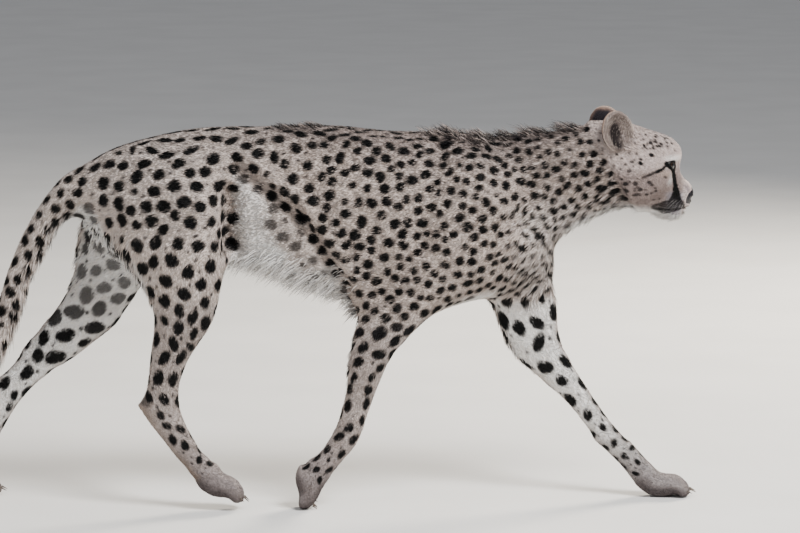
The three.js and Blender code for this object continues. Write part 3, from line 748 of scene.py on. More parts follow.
def spot_plan(s):
    """The radius of the spots, their gap as a share of it, their length and their strength."""
    m, co, n = s.member, s.co, s.n
    x = co[:, 0]
    top = smoothstep(0.45, 0.9, s.relax.smooth(n, 10)[:, 2])
    trunk_r = np.interp(x, [-0.44, -0.2, -0.05, 0.1, 0.3, 0.5], [13.6, 14.4, 13.2, 12.1, 11.5, 10.8])
    trunk_r = trunk_r * (1 - 0.04 * top)
    height = co[:, 2]
    limb = np.interp(height, [0.0, 0.05, 0.15, 0.3, 0.5], [4.2, 6.4, 10.0, 13.6, 15.0])
    inside_fore = smoothstep(0.1, 0.5, s.inner) * smoothstep(0.10, 0.16, height) * (x > 0)
    limb = limb * (1 + 0.10 * inside_fore)
    limb = limb * (1 + 0.30 * smoothstep(0.2, 0.7, s.inner) * smoothstep(0.2, 0.3, height) * (x < 0))
    tail_r = np.interp(x, [-0.87, -0.7, -0.5], [13.0, 13.5, 11.0])
    legs = m["forearm"] + m["shank"] + m["pastern"] + m["paw"]
    total = m["trunk"] + m["neck"] + m["thigh"] + m["tail"] + legs + m["head"] + 1e-6
    radius = m["trunk"] * trunk_r + m["neck"] * 8.8 + m["thigh"] * 14.8 + m["tail"] * tail_r
    radius = (radius + legs * limb + m["head"] * 2.7) / total
    trunk_gap = np.interp(x, [-0.2, 0.1, 0.4], [2.13, 1.86, 1.80])
    gap = m["trunk"] * trunk_gap + m["neck"] * 2.1 + m["thigh"] * 2.1 + m["tail"] * 2.2
    leg_gap = np.interp(height, [0.05, 0.12, 0.3], [3.2, 2.4, 2.0]) + 0.45 * inside_fore
    gap = (gap + legs * leg_gap + m["head"] * 4.8) / total
    breast = 0.7 * s.chest * smoothstep(0.0, 0.5, n[:, 0]) * m["trunk"]
    long = 1.06 + 0.5 * top * m["trunk"] + 0.2 * legs + breast
    keep = 1 - 0.9 * s.white * (m["trunk"] + m["neck"] * 0.6)
    keep = keep * (1 - smoothstep(0.3, 0.8, m["paw"])) * (1 - s.plain_flank)
    keep = keep * (1 - smoothstep(0.2, 0.6, s.plain_hock))
    keep = keep * (1 - m["nose"]) * (1 - smoothstep(0.2, 0.5, m["ear"]))
    f, _, u = (in_head(co) * 1000).T
    muzzle = smoothstep(-14, 0, f) + smoothstep(-66, -78, u) * smoothstep(-100, -80, f)
    cheek = (u < 30) * (f > -70)
    calm = np.clip(muzzle * (u < 30) + cheek + (off_eyes(co) < 0.009), 0, 1)
    keep = keep * (1 - np.clip(s.head, 0, 1) * calm)
    return radius / 1000, gap, long, keep


MOST_SPOTS = 8000  # more than the skin has room for
SMALL_TRIES = 45000  # vertices tried for a small spot
LARGEST_GAP = 0.06  # no two spots keep further apart than this


def throw_darts(s, radius, gap, rng):
    """Vertices of the skin that keep their distance from each other."""
    order = rng.permutation(len(s.co))
    at = np.zeros((MOST_SPOTS, 3))
    reach = np.zeros(MOST_SPOTS)
    taken = []
    for i in order:
        count = len(taken)
        need = radius[i] * gap[i]
        if count and s.head[i] > 0.5 and rng.random() < 0.5:
            continue
        off = np.abs(at[:count, 0] - s.co[i, 0])
        close = np.flatnonzero(off < LARGEST_GAP)
        off = np.linalg.norm(at[close] - s.co[i], axis=1)
        if (off < (need + reach[close]) / 2).any():
            continue
        at[count], reach[count] = s.co[i], need
        taken.append(i)
    return np.array(taken)


def spread_out(s, taken, need, rounds=16):
    """Moves each spot to the middle of the ground nearest to it, so that they lie evenly."""
    area = np.bincount(s.tri.ravel(), np.repeat(s.area / 3, 3), len(s.co))
    share = area / need ** 4
    puffed = s.co + 0.006 * s.n  # keeps the two sides of a thin limb apart
    for _ in range(rounds):
        tree = tree_of(puffed[taken])
        owner = np.array([tree.find(Vector(p))[1] for p in puffed])
        total = np.bincount(owner, share, len(taken))
        middle = [np.bincount(owner, share * s.co[:, k], len(taken)) for k in range(3)]
        middle = np.stack(middle, 1) / np.maximum(total, 1e-12)[:, None]
        found = np.array([s.tree.find(Vector(p))[1] for p in middle])
        taken = np.where((s.head[taken] > 0.5) | (total == 0), taken, found)
    return np.unique(taken)


def part_spots(s, taken, sizes, lengths, space=0.0024):
    """Shrinks spots that would touch, so that ground shows between every two of them."""
    at, way = s.co[taken], s.lie[taken]
    tree = tree_of(at)
    shrink = np.ones(len(at))
    for j, p in enumerate(at):
        for _, k, off in tree.find_n(Vector(p), 7):
            if k == j or dot(s.n[taken[j]], s.n[taken[k]]) < 0:
                continue
            toward = (at[k] - p) / max(off, 1e-6)
            reach = 0
            for m in (j, k):
                along = abs(dot(toward, way[m]))
                across = math.sqrt(max(0, 1 - along ** 2))
                reach += sizes[m] / math.hypot(along / lengths[m], across * math.sqrt(lengths[m]))
            shrink[j] = min(shrink[j], max(0.45, (off - space) / max(reach, 1e-9)))
    return sizes * shrink


def dart_spots(s, spots):
    """Evenly spread spots over the whole skin, with small ones in some of the spaces."""
    radius, gap, long, keep = spot_plan(s)
    rng = np.random.default_rng(5)
    taken = throw_darts(s, radius, gap, rng)
    taken = spread_out(s, taken, radius * gap)
    main = s.co[taken]
    sizes = radius[taken] * rng.uniform(0.88, 1.12, len(taken))
    small_one = rng.random(len(taken)) < 0.07 + 0.35 * (s.head[taken] > 0.5)
    sizes = np.where(small_one, sizes * rng.uniform(0.55, 0.85, len(taken)), sizes)
    lengths = long[taken] * rng.uniform(0.94, 1.12, len(taken))
    sizes = part_spots(s, taken, sizes, lengths)
    for j, i in enumerate(taken):
        if keep[i] < 0.3 and rng.random() > keep[i]:
            sizes[j] = 0
            continue
        way = s.lie[i] + 0.4 * rng.normal(size=3) + s.chest[i] * np.array([0.4, 0, 0.9])
        way = unit(way - dot(way, s.n[i]) * s.n[i])
        dark = min(1.0, 0.35 + 1.1 * keep[i]) * (rng.uniform(0.65, 1) if s.head[i] > 0.5 else 1)
        inner_thigh = smoothstep(0.3, 0.7, s.inner[i]) * (s.co[i, 0] < 0)
        dark = dark * (1 - 0.2 * inner_thigh * smoothstep(0.34, 0.46, s.co[i, 2]))
        dark = dark * (1 - 0.3 * s.white[i] * s.member["neck"][i]) * (1 - 0.22 * s.pale[i])
        spots.add(s.co[i], way, s.n[i], sizes[j], lengths[j], dark)
    total = 0
    small = np.zeros((MOST_SPOTS, 3))
    for i in rng.permutation(len(s.co))[:SMALL_TRIES]:
        size = radius[i] * rng.uniform(0.14, 0.32)
        if keep[i] < 0.7 or s.head[i] > 0.4 or rng.random() < 0.3 + 0.55 * (s.co[i, 0] > -0.12):
            continue
        off = np.linalg.norm(main - s.co[i], axis=1) - sizes
        if (off < size + 0.13 * radius[i] + 0.0015).any():
            continue
        if total and (np.linalg.norm(small[:total] - s.co[i], axis=1) < 1.5 * radius[i]).any():
            continue
        small[total] = s.co[i]
        total += 1
        spots.add(s.co[i], s.lie[i], s.n[i], size, rng.uniform(1.0, 1.4), 0.92)


# Marks of the face, on both sides, in mm forward and up from the eyes: from, to, half widths, how dark.
FACE_MARKS = [
    ((12, -8), (13, -20), 6.0, 5.4, 1.0),  # the tear line
    ((13, -20), (17, -44), 5.4, 5.6, 1.0),
    ((17, -44), (19, -60), 5.6, 9.0, 1.0),
    ((19, -60), (18, -76), 9.0, 15.0, 0.98),
    ((28, -86), (-2, -90), 12.0, 15.0, 0.91),  # the dark lip
    ((-2, -90), (-28, -88), 15.0, 6.0, 0.85),
    ((-6, 4), (13, -5), 5.6, 7.6, 1.0),  # round the eye
    ((-6, 3), (-14, -4), 4.0, 3.0, 1.0),  # back from its outer corner
    ((-14, -5), (-28, -10), 2.6, 4.2, 1.0),
    ((-28, -10), (-60, -21), 3.6, 2.4, 0.9),
]

# Single spots of the face, on both sides: forward, up, radius in mm, how dark.
FACE_SPOTS = [
    (-39, 25, 4.4, 0.95), (-59, 8, 4.2, 0.95), (-17, 44, 3.0, 0.9), (-27, 56, 2.8, 0.9),
    (-37, 73, 3.2, 0.9), (-53, 40, 2.6, 0.8), (-65, 19, 2.8, 0.8), (-84, 10, 3.0, 0.7),
    (-9, -20, 3.0, 0.5), (-86, -8, 4.0, 0.6), (-119, -38, 5.0, 0.85), (-98, -34, 4.6, 0.8),
    (-76, -32, 4.4, 0.65), (-48, -31, 3.8, 0.65), (-135, -46, 5.0, 0.95), (-97, -47, 4.8, 0.8),
    (-63, -47, 4.2, 0.65), (-39, -42, 3.4, 0.65), (-27, -50, 3.0, 0.6), (-74, -57, 3.8, 0.6),
    (-48, -59, 3.2, 0.6), (-95, -66, 4.6, 0.65), (-119, -58, 8.6, 1.0), (-137, -74, 6.4, 1.0),
]

# Specks of the crown and of the cheek: how far forward and up, radius in mm, how dark, how many.
SPECKS = [
    ((-55, 16), (36, 68), (1.7, 3.0), 1.0, 26),
    ((-85, -15), (-75, -30), (1.6, 2.6), 0.5, 13),
]


def face_spots(s, spots):
    """The spots of the cheeks and the forehead, and specks on the crown and the cheek."""
    rng = np.random.default_rng(31)
    h = in_head(s.co) * 1000
    for k in (1.0, -1.0):
        near = (h[:, 0] > -180) & (h[:, 2] > -130)
        side = np.flatnonzero((h[:, 1] * k > 3) & near & (s.n @ H_LEFT * k > 0.1) & (s.member["ear"] < 0.1))
        specks = [
            (rng.uniform(*along), rng.uniform(*high), rng.uniform(*size), dark)
            for along, high, size, dark, count in SPECKS for _ in range(count)
        ]
        for f, u, radius, dark in FACE_SPOTS + specks:
            f, u = f + 1.5 * rng.normal(), u + 1.5 * rng.normal()
            i = vertex_at(h, side, f, u)
            dark = min(1, 0.45 + 0.6 * dark)
            spots.add(s.co[i], s.lie[i], s.n[i], radius * 1.2 / 1000, rng.uniform(1.1, 1.35), dark)


def face_darkness(points):
    """The tear line, the dark lips, the rims of the eyes and the whisker rows."""
    h = in_head(points)
    near = (h[:, 0] > -0.14) & (np.abs(h[:, 1]) < 0.08) & (h[:, 2] < 0.06)
    dark = np.zeros(len(points))
    if not near.any():
        return dark
    p = points[near]
    flat = h[near][:, [0, 2]] * 1000
    a = np.abs(h[near][:, 1]) * 1000
    d = np.zeros(len(p))
    fray = 0.7 * wobble(p, 0.006, 12)
    for start, end, w0, w1, strength in FACE_MARKS:
        off, t = off_segment(flat, start, end)
        edge = off - (w0 + (w1 - w0) * t) + fray
        soft = 0.8 if strength > 0.9 else 2.2
        d = np.maximum(d, smoothstep(soft, -soft, edge) * strength)
    d *= smoothstep(6, 9, a)
    # Pale hairs stripe the dark lip along its whisker rows.
    stripe = np.sin((flat[:, 1] + 0.25 * flat[:, 0]) * 1.35 + 0.8 * wobble(p, 0.02, 13))
    lip = patch(h[near] * [1, 0, 1], (2, 0, -88), (36, 1e3, 17), 0.6)
    d = d * (1 - 0.20 * lip * smoothstep(0.2, 0.9, stripe))
    rows = smoothstep(0.5, 0.95, stripe) * patch(h[near] * [1, 0, 1], (26, 0, -78), (20, 1e3, 12), 0.8)
    d = np.maximum(d, 0.35 * rows)
    off = flat[:, 1] - mouth_height(flat[:, 0] / 1000) * 1000
    line = smoothstep(2.4, 1.0, np.abs(off)) * smoothstep(-30, -18, flat[:, 0])
    d = np.maximum(d, line * 0.95)
    d = np.maximum(d, smoothstep(4.6, 3.0, off_eyes(p) * 1000 + 0.6 * fray))
    dark[near] = d
    return dark


def tail_rings(points):
    """Dark rings towards the end of the tail."""
    x = points[:, 0]
    ring = np.zeros(len(points))
    for at, width in ((-0.835, 0.010), (-0.795, 0.011), (-0.752, 0.012), (-0.708, 0.010)):
        wave = 0.003 * wobble(points, 0.03, 15)
        ring = np.maximum(ring, smoothstep(width + 0.002, width - 0.002, np.abs(x - at + wave)))
    low = smoothstep(0.30, 0.24, points[:, 2])
    # The left hind foot stands lower than the tail's end, at the same distance back.
    off_foot = points[:, 2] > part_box("tail_end")[0][2] - 0.02
    return ring * low * off_foot


def paint(points, grounds):
    """The coat's colour at each point, for the skin and for the tufts alike."""
    dark = SPOTS.darkness(points)
    dark = np.maximum(dark, face_darkness(points))
    dark = np.maximum(dark, tail_rings(points) * 0.95)
    return mix(grounds, BLACK, dark)


# ---- Tufts -------------------------------------------------------------------------------------

# For each family: length, width and spacing in mm, and lift in degrees.
HAIR = {
    "trunk": (10, 2.4, 2.6, 13), "neck": (12, 2.5, 2.6, 15), "head": (6.0, 1.5, 1.65, 12),
    "nose": (2.5, 0.8, 1.6, 8), "tail": (12, 2.4, 2.6, 15), "thigh": (9.5, 2.4, 2.55, 12),
    "forearm": (8, 2.1, 2.4, 12), "shank": (8, 2.1, 2.4, 12), "pastern": (6.5, 1.8, 2.2, 12),
    "paw": (5.0, 1.5, 2.0, 12), "ear": (4.5, 1.1, 1.7, 9),
}


class Tufts:
    """Roots on the skin with what is known of it there."""

    def __init__(self, s, count, weight, rng):
        tri, area = s.tri, s.area
        share = np.cumsum(area * weight[tri].mean(1))
        pick = np.searchsorted(share, rng.random(count) * share[-1])
        pick = np.minimum(pick, len(tri) - 1)
        r1, r2 = np.sqrt(rng.random(count)), rng.random(count)
        bary = np.stack([1 - r1, r1 * (1 - r2), r1 * r2], 1)
        self.corner, self.bary, self.count = tri[pick], bary, count
        self.root = self.at(s.co)
        self.n = unit(self.at(s.n))
        lie = self.at(s.lie)
        self.lie = unit(lie - dot(lie, self.n)[:, None] * self.n)
        self.side = np.cross(self.n, self.lie)

    def at(self, values):
        picked = values[self.corner]
        if values.ndim == 1:
            return (picked * self.bary).sum(1)
        return (picked * self.bary[:, :, None]).sum(1)


def triangles(s):
    mesh = s.obj.data
    mesh.calc_loop_triangles()
    s.tri = read(mesh.loop_triangles, "vertices", 3, np.int32)
    p = s.co[s.tri]
    s.area = np.linalg.norm(np.cross(p[:, 1] - p[:, 0], p[:, 2] - p[:, 0]), axis=1) / 2


def hair_field(s, column):
    return s.relax.smooth(by_node(s.owners, lambda m: HAIR[family(m)][column]), 12)


def unwrap(s):
    """A plain unwrap of the skin's own shape, for the places of the tufts on their bake map."""
    obj = link("pattern", s.obj.data.copy())
    bpy.context.view_layer.objects.active = obj
    obj.select_set(True)
    obj.data.remesh_voxel_size = PATTERN_VOXEL
    bpy.ops.object.voxel_remesh()
    bpy.ops.object.mode_set(mode="EDIT")
    bpy.ops.mesh.select_all(action="SELECT")
    bpy.ops.mesh.quads_convert_to_tris()
    bpy.ops.uv.smart_project(angle_limit=math.radians(66), island_margin=0.004)
    bpy.ops.object.mode_set(mode="OBJECT")
    mesh = obj.data
    s.pattern_uv = read(mesh.uv_layers.active.data, "uv", 2).reshape(-1, 3, 2)
    co, _ = mesh_arrays(mesh)
    faces = read(mesh.polygons, "vertices", 3, np.int32)
    s.pattern = co[faces]
    s.pattern_tree = BVHTree.FromPolygons([Vector(c) for c in co], faces.tolist())
    bpy.data.objects.remove(obj)
    bpy.data.meshes.remove(mesh)


def pattern_places(s, points):
    at, _, face = nearest(s.pattern_tree, points)
    a, b, c = s.pattern[face].transpose(1, 0, 2)
    total = np.cross(b - a, c - a)
    size = np.maximum(dot(total, total), 1e-18)
    wb = dot(np.cross(at - a, c - a), total) / size
    wc = dot(np.cross(b - a, at - a), total) / size
    w = np.clip(np.stack([1 - wb - wc, wb, wc], 1), 0, 1)
    return (s.pattern_uv[face] * w[:, :, None]).sum(1)


PATTERN_VOXEL = 0.020
TUFT_ON_MAP = 0.003  # a tuft's length on the bake map
LOCK_CLEARANCE = 0.0045  # from the skin to the tip of a long tuft
# For each kind of tuft: where along it its rings stand, and how wide it is there.
RINGS = {"short": [0.0], "lock": [0.0, 0.35, 0.70]}
PROFILE = {0.0: 0.75, 0.35: 1.0, 0.70: 0.75}


def tuft_shape(kind):
    """The faces of one closed three-sided tuft, by its vertices' numbers, and how many these are."""
    rings = len(RINGS[kind])
    faces = [(0, 2, 1)]
    for r in range(rings - 1):
        for i in range(3):
            a, b = r * 3 + i, r * 3 + (i + 1) % 3
            faces += [(a, b, b + 3), (a, b + 3, a + 3)]
    last, tip = (rings - 1) * 3, rings * 3
    faces += [(last + i, last + (i + 1) % 3, tip) for i in range(3)]
    return np.array(faces), tip + 1


def settle(s, t, high):
    """Lays the tips over the skin, so that no tuft dives into it or stands off it."""
    at, n, _ = nearest(s.surface, t.root + t.lie * t.length[:, None])
    t.tip = at + n * (t.length * np.sin(t.lift) * high)[:, None]


def clear_skin(s, t):
    """How far the tip of each long tuft has to rise to be clear of the skin."""
    t.rise = np.zeros(t.count)
    end = tuft_points("lock", t)[0][:, -1]
    at, n, _ = nearest(s.surface, end)
    t.rise = np.clip(LOCK_CLEARANCE - dot(end - at, n), 0, 0.02)


def tuft_points(kind, t):
    """The vertices of every tuft, ring by ring from the root to the tip, and their places on the map."""
    rings = RINGS[kind]
    steps = rings + [1.0]
    points, uvs = [], []
    up = np.tan(t.lift)
    for step in steps:
        along = t.length * step
        bend = t.sway * (step ** 2) * t.length
        rise = along * np.sin(t.lift) - 0.45 * up * t.length * step ** 2 * t.press
        middle = t.root - t.n * t.sink[:, None]
        middle = middle + t.lie * (along * np.cos(t.lift))[:, None] + t.n * rise[:, None]
        middle = middle + t.side * bend[:, None]
        middle[:, 2] -= t.droop * t.length * step ** 2
        middle = middle + t.n * (t.rise * step)[:, None]
        if step == 1.0:
            points.append(t.tip if kind == "short" else middle)
            uvs.append((0.0, 0.5))
            continue
        half = t.width * (1.0 if kind == "short" else PROFILE[step]) / 2
        for across, high in ((-1.0, 0.0), (1.0, 0.0), (0.0, 0.55)):
            points.append(middle + t.side * (half * across)[:, None] + t.n * (half * high)[:, None])
            uvs.append((0.5 * across, step - 0.5 + 0.1 * high))
    return np.stack(points, 1), np.array(uvs)


def bake_map(mesh, corner_uv):
    """The UV map named OFBake, for baking the piece's colours to."""
    layer = mesh.uv_layers.new(name="OFBake")
    layer.data.foreach_set("uv", np.clip(corner_uv, 0, 1).astype(np.float32).ravel())


def colour_attribute(mesh, colours):
    attribute = mesh.color_attributes.new("coat", "FLOAT_COLOR", "POINT")
    rgba = np.ones((len(colours), 4), np.float32)
    rgba[:, :3] = colours
    attribute.data.foreach_set("color", rgba.ravel())


def build_layer(name, groups, material):
    """One piece from several kinds of tuft."""
    rows = []
    start = 0
    for kind, t in groups:
        faces, per = tuft_shape(kind)
        points, uvs = tuft_points(kind, t)
        index = (np.arange(len(points)) * per + start)[:, None, None] + faces[None]
        place = t.place[:, None, :] + uvs[None] * TUFT_ON_MAP
        # Painted shade: each tuft is darker at its root and a little lighter at its tip.
        shade = np.array([*(0.82 + 0.22 * np.array(sorted(RINGS[kind] * 3))), 1.06])
        step = np.array([*sorted(RINGS[kind] * 3), 1.0])[None, :, None]
        colour = t.colour[:, None, :] * (1 - step) + t.tip_colour[:, None, :] * step
        colour = colour * shade[None, :, None]
        rows.append([a.reshape(-1, a.shape[-1]) for a in (points, index, place, colour)])
        start += len(points) * per
    co, faces, uv, colour = (np.concatenate(column) for column in zip(*rows))
    mesh = bpy.data.meshes.new(name)
    mesh.vertices.add(len(co))
    mesh.vertices.foreach_set("co", co.astype(np.float32).ravel())
    mesh.loops.add(len(faces) * 3)
    mesh.loops.foreach_set("vertex_index", faces.astype(np.int32).ravel())
    mesh.polygons.add(len(faces))
    mesh.polygons.foreach_set("loop_start", np.arange(0, len(faces) * 3, 3, dtype=np.int32))
    mesh.update(calc_edges=True)
    bake_map(mesh, uv[faces.ravel()])
    colour_attribute(mesh, colour)
    mesh.shade_smooth()
    mesh.materials.append(material)
    obj = link(name, mesh)
    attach(obj, "root")


def colour_tufts(s, t, rng, low, high):
    """Each tuft's root and tip have the colour of the skin under the part of it that shows."""
    fade = rng.normal(1.0, 0.075, t.count)[:, None]
    warm = rng.normal(0.0, 0.02, t.count)[:, None] * np.array([1.0, 0.1, -1.0])
    ground = t.at(s.ground)
    colours = []
    for reach in (low, high):
        colour = paint(t.root + (t.tip - t.root) * reach, ground)
        colours.append(np.clip(colour * fade * (1 + warm), 0.004, 0.95))
    t.colour, t.tip_colour = colours


def dress(t, rng, length, width, lift):
    spread = rng.normal(1.0, 0.14, t.count)
    clump = 1 + 0.10 * wobble(t.root, 0.022, 41)
    t.length = length * np.clip(spread, 0.6, 1.5) * clump
    t.width = width * rng.uniform(0.8, 1.2, t.count)
    t.lift = np.radians(lift * np.clip(rng.normal(1.0, 0.22, t.count), 0.4, 1.8))
    turn = 0.10 * rng.normal(size=t.count) + 0.14 * wobble(t.root, 0.035, 42)
    t.lie = unit(t.lie + t.side * turn[:, None])
    t.side = np.cross(t.n, t.lie)
    t.sway = 0.10 * rng.normal(size=t.count)
    t.sink = np.minimum(0.0005, 0.06 * t.length)
    t.press = np.full(t.count, 0.35)
    t.droop = np.zeros(t.count)


def lock_zones(s):
    """Where longer hair grows: weight, length and width in mm, lift, droop, tufts to a square metre."""
    co, n, m = s.co, s.n, s.member
    x = co[:, 0]
    wide = s.relax.smooth(n, 12)
    body = m["trunk"] + m["neck"]
    crest = smoothstep(0.72, 0.93, wide[:, 2])
    clumps = 0.25 + 0.75 * smoothstep(-0.1, 0.5, wobble(co * [1, 0.3, 0], 0.07, 71))
    nape = smoothstep(0.27, 0.31, x) * smoothstep(0.64, 0.60, x) * crest * body * clumps
    ridge = smoothstep(-0.03, 0.0, x) * smoothstep(0.10, 0.07, x)
    ridge = ridge * smoothstep(0.8, 0.95, wide[:, 2]) * m["trunk"]
    under = smoothstep(-0.25, -0.7, wide[:, 2])
    belly = smoothstep(-0.13, -0.09, x) * smoothstep(0.26, 0.16, x) * under * m["trunk"]
    chest = smoothstep(0.42, 0.50, x) * smoothstep(0.3, -0.1, wide[:, 2]) * m["trunk"]
    front = smoothstep(0.3, 0.7, wide[:, 0]) * m["trunk"] * smoothstep(0.45, 0.5, x)
    throat = m["neck"] * smoothstep(0.0, -0.5, wide[:, 2])
    rear = m["thigh"] * smoothstep(0.35, 0.75, -wide[:, 0])
    elbow = m["forearm"] * smoothstep(0.35, 0.75, -wide[:, 0]) * smoothstep(0.24, 0.32, co[:, 2])
    tail_low = m["tail"] * smoothstep(-0.1, 0.5, wide @ unit([0.75, 0, -0.65]))
    tail_tip = m["tail"] * smoothstep(-0.74, -0.80, x)
    f, _, u = (in_head(co) * 1000).T
    jaw = s.head * smoothstep(-84, -96, u) * smoothstep(-50, -70, f)
    chin = s.head * smoothstep(-98, -106, u) * smoothstep(-30, -10, f)
    chin = np.maximum(chin, s.head * smoothstep(38, 46, f) * smoothstep(-90, -96, u))
    brow_ear = np.zeros(len(co))
    for hand in SIDES:
        low, high = (np.array(b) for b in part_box(f"ear_{hand}"))
        base = (low + high) / 2 + 0.030 * H_FRONT - 0.022 * UP
        brow_ear = np.maximum(brow_ear, smoothstep(0.030, 0.014, np.linalg.norm(co - base, axis=1)))
    brow_ear = brow_ear * s.head
    inner_ear = s.ear_inside * (1 - 0.85 * s.ear_deep) * smoothstep(0.92, 0.70, s.ear_height)
    return [
        ("mane", nape, 38, 2.5, 44, 0.0, 120000), ("ridge", ridge, 18, 1.9, 34, 0.0, 60000),
        ("belly", belly, 34, 2.4, 24, 0.55, 42000), ("chest", chest, 20, 2.1, 18, 0.15, 42000),
        ("front", front, 20, 2.1, 18, 0.15, 42000), ("throat", throat, 20, 2.1, 18, 0.2, 48000),
        ("rear", rear, 22, 2.4, 18, 0.1, 30000), ("elbow", elbow, 17, 2.1, 20, 0.1, 45000),
        ("tail_low", tail_low, 24, 2.4, 22, 0.25, 42000), ("tail_tip", tail_tip, 28, 2.4, 16, 0.2, 50000),
        ("jaw", jaw, 15, 1.8, 26, 0.3, 90000), ("chin", chin, 11, 1.2, 34, 0.3, 220000),
        ("ear", inner_ear, 10, 1.1, 18, 0.0, 120000), ("ear_front", brow_ear, 17, 1.5, 24, 0.0, 150000),
    ]


LAYERS = 8


def grow_coat(s, material):
    rng = np.random.default_rng(99)
    s.surface = BVHTree.FromPolygons([Vector(p) for p in s.co], s.tri.tolist())
    length, width = hair_field(s, 0) / 1000, hair_field(s, 1) / 1000
    spacing, lift = hair_field(s, 2) / 1000, hair_field(s, 3)
    bare = np.clip(s.bare, 0, 1)
    groups = []
    weight = (1 - bare) / spacing ** 2
    count = int((s.area * weight[s.tri].mean(1)).sum())
    t = Tufts(s, count, weight, rng)
    dress(t, rng, t.at(length), t.at(width), t.at(lift))
    settle(s, t, 0.8)
    t.rise = np.zeros(t.count)
    colour_tufts(s, t, rng, 0.45, 0.92)
    groups.append(("short", t))
    for name, weight, long, wide, lift_by, droop, density in lock_zones(s):
        weight = np.clip(weight, 0, 1) * (1 - bare)
        count = int((s.area * weight[s.tri].mean(1)).sum() * density)
        if count < 5:
            continue
        t = Tufts(s, count, weight, rng)
        reach = t.at(weight)
        dress(t, rng, long / 1000 * (0.45 + 0.55 * reach), wide / 1000, lift_by)
        uneven = 1 + 0.30 * wobble(t.root, 0.045, 51) + 0.22 * wobble(t.root, 0.016, 52)
        t.length = t.length * np.clip(uneven, 0.35, 1.6)
        t.droop = np.full(t.count, droop)
        t.press = np.full(t.count, 0.4)
        settle(s, t, 1.0)
        clear_skin(s, t)
        colour_tufts(s, t, rng, 0.3, 0.6)
        tint_locks(name, t, rng)
        groups.append(("lock" if long > 12 else "short", t))
    layers = [[] for _ in range(LAYERS)]
    for kind, t in groups:
        t.place = pattern_places(s, t.root)
        which = rng.integers(0, LAYERS, t.count)
        for k in range(LAYERS):
            layers[k].append((kind, subset(t, which == k)))
    for k, parts in enumerate(layers):
        build_layer(f"coat_layer_{k + 1:02d}", parts, material)


def subset(t, keep):
    names = "root n lie side length width lift sway sink press droop colour tip_colour place tip rise"
    return SimpleNamespace(**{name: getattr(t, name)[keep] for name in names.split()})


def tint_locks(name, t, rng):
    """Shifts the colour of some locks away from that of the skin under them."""
    tints = {"belly": (WHITE, 0.5), "chin": (WHITE, 0.85), "ear": (linear(178, 166, 156), 0.6)}
    if name in tints:
        tint, amount = tints[name]
        amount = np.full(t.count, amount)
    elif name in ("mane", "ridge"):
        tint = BLACK * 2
        amount = 0.9 * smoothstep(-0.7, 0.2, wobble(t.root, 0.03, 61) + 0.5 * rng.normal(size=t.count))
    else:
        return
    t.colour = mix(t.colour, tint, amount)
    t.tip_colour = mix(t.tip_colour, tint, amount)


# ---- Materials ---------------------------------------------------------------------------------

class Nodes:
    """A short way to write a material's nodes."""

    def __init__(self, name):
        self.material = bpy.data.materials.new(name)
        self.material.use_nodes = True
        self.tree = self.material.node_tree
        self.shader = self.tree.nodes["Principled BSDF"]

    def add(self, kind, settings=None, **inputs):
        node = self.tree.nodes.new(kind)
        for key, value in (settings or {}).items():
            setattr(node, key, value)
        for key, value in inputs.items():
            self.set(node.inputs[key.replace("_", " ")], value)
        return node

    def set(self, socket, value):
        if isinstance(value, bpy.types.NodeSocket):
            self.tree.links.new(value, socket)
        elif hasattr(value, "__len__") and len(value) == 3 and len(socket.default_value) == 4:
            socket.default_value = (*value, 1)
        else:
            socket.default_value = value

    def finish(self, **inputs):
        for key, value in inputs.items():
            self.set(self.shader.inputs[key.replace("_", " ")], value)
        return self.material

    def position(self):
        return self.add("ShaderNodeTexCoord").outputs["Object"]

    def noise(self, scale, detail=3.0):
        node = self.add("ShaderNodeTexNoise", Scale=scale, Detail=detail)
        self.set(node.inputs["Vector"], self.position())
        return node.outputs["Fac"]

    def ramp(self, value, stops):
        node = self.add("ShaderNodeValToRGB")
        elements = node.color_ramp.elements
        while len(elements) < len(stops):
            elements.new(0.5)
        for element, (at, colour) in zip(elements, stops):
            element.position = at
            element.color = (*colour, 1)
        self.set(node.inputs["Fac"], value)
        return node.outputs["Color"]

    def speckle(self, scale, low, high, detail=3.0):
        """Noise that runs between two colours."""
        return self.ramp(self.noise(scale, detail), [(0.3, low), (0.7, high)])

    def vector(self, operation, *values, output=0):
        node = self.add("ShaderNodeVectorMath", {"operation": operation})
        for socket, value in zip(node.inputs, values):
            self.set(socket, value)
        return node.outputs[output]

    def bump(self, height, strength, distance):
        node = self.add("ShaderNodeBump", Strength=strength, Distance=distance, Height=height)
        return node.outputs["Normal"]

    def times(self, a, b, amount=1.0):
        node = self.add("ShaderNodeMix", {"data_type": "RGBA", "blend_type": "MULTIPLY"})
        self.set(node.inputs["Factor"], amount)
        self.set(node.inputs[6], a)
        self.set(node.inputs[7], b)
        return node.outputs[2]


def coat_material(name, bump_size):
    m = Nodes(name)
    colour = m.add("ShaderNodeAttribute", {"attribute_name": "coat"}).outputs["Color"]
    grain = m.speckle(420, (0.86, 0.85, 0.84), (1.0, 1.0, 1.0), 4)
    broad = m.speckle(26, (0.93, 0.92, 0.91), (1.0, 1.0, 1.0))
    normal = m.bump(m.noise(900, 4), 0.5, bump_size)
    return m.finish(Base_Color=m.times(m.times(colour, grain), broad), Roughness=0.65,
                    Specular_IOR_Level=0.12, Normal=normal)


def leather_material():
    m = Nodes("nose_leather")
    cells = m.add("ShaderNodeTexVoronoi", Scale=1300.0, Vector=m.position()).outputs["Distance"]
    colour = m.speckle(160, linear(12, 11, 14), linear(30, 26, 31))
    normal = m.bump(cells, 0.25, 0.0002)
    return m.finish(Base_Color=colour, Roughness=0.4, Specular_IOR_Level=0.35, Normal=normal)


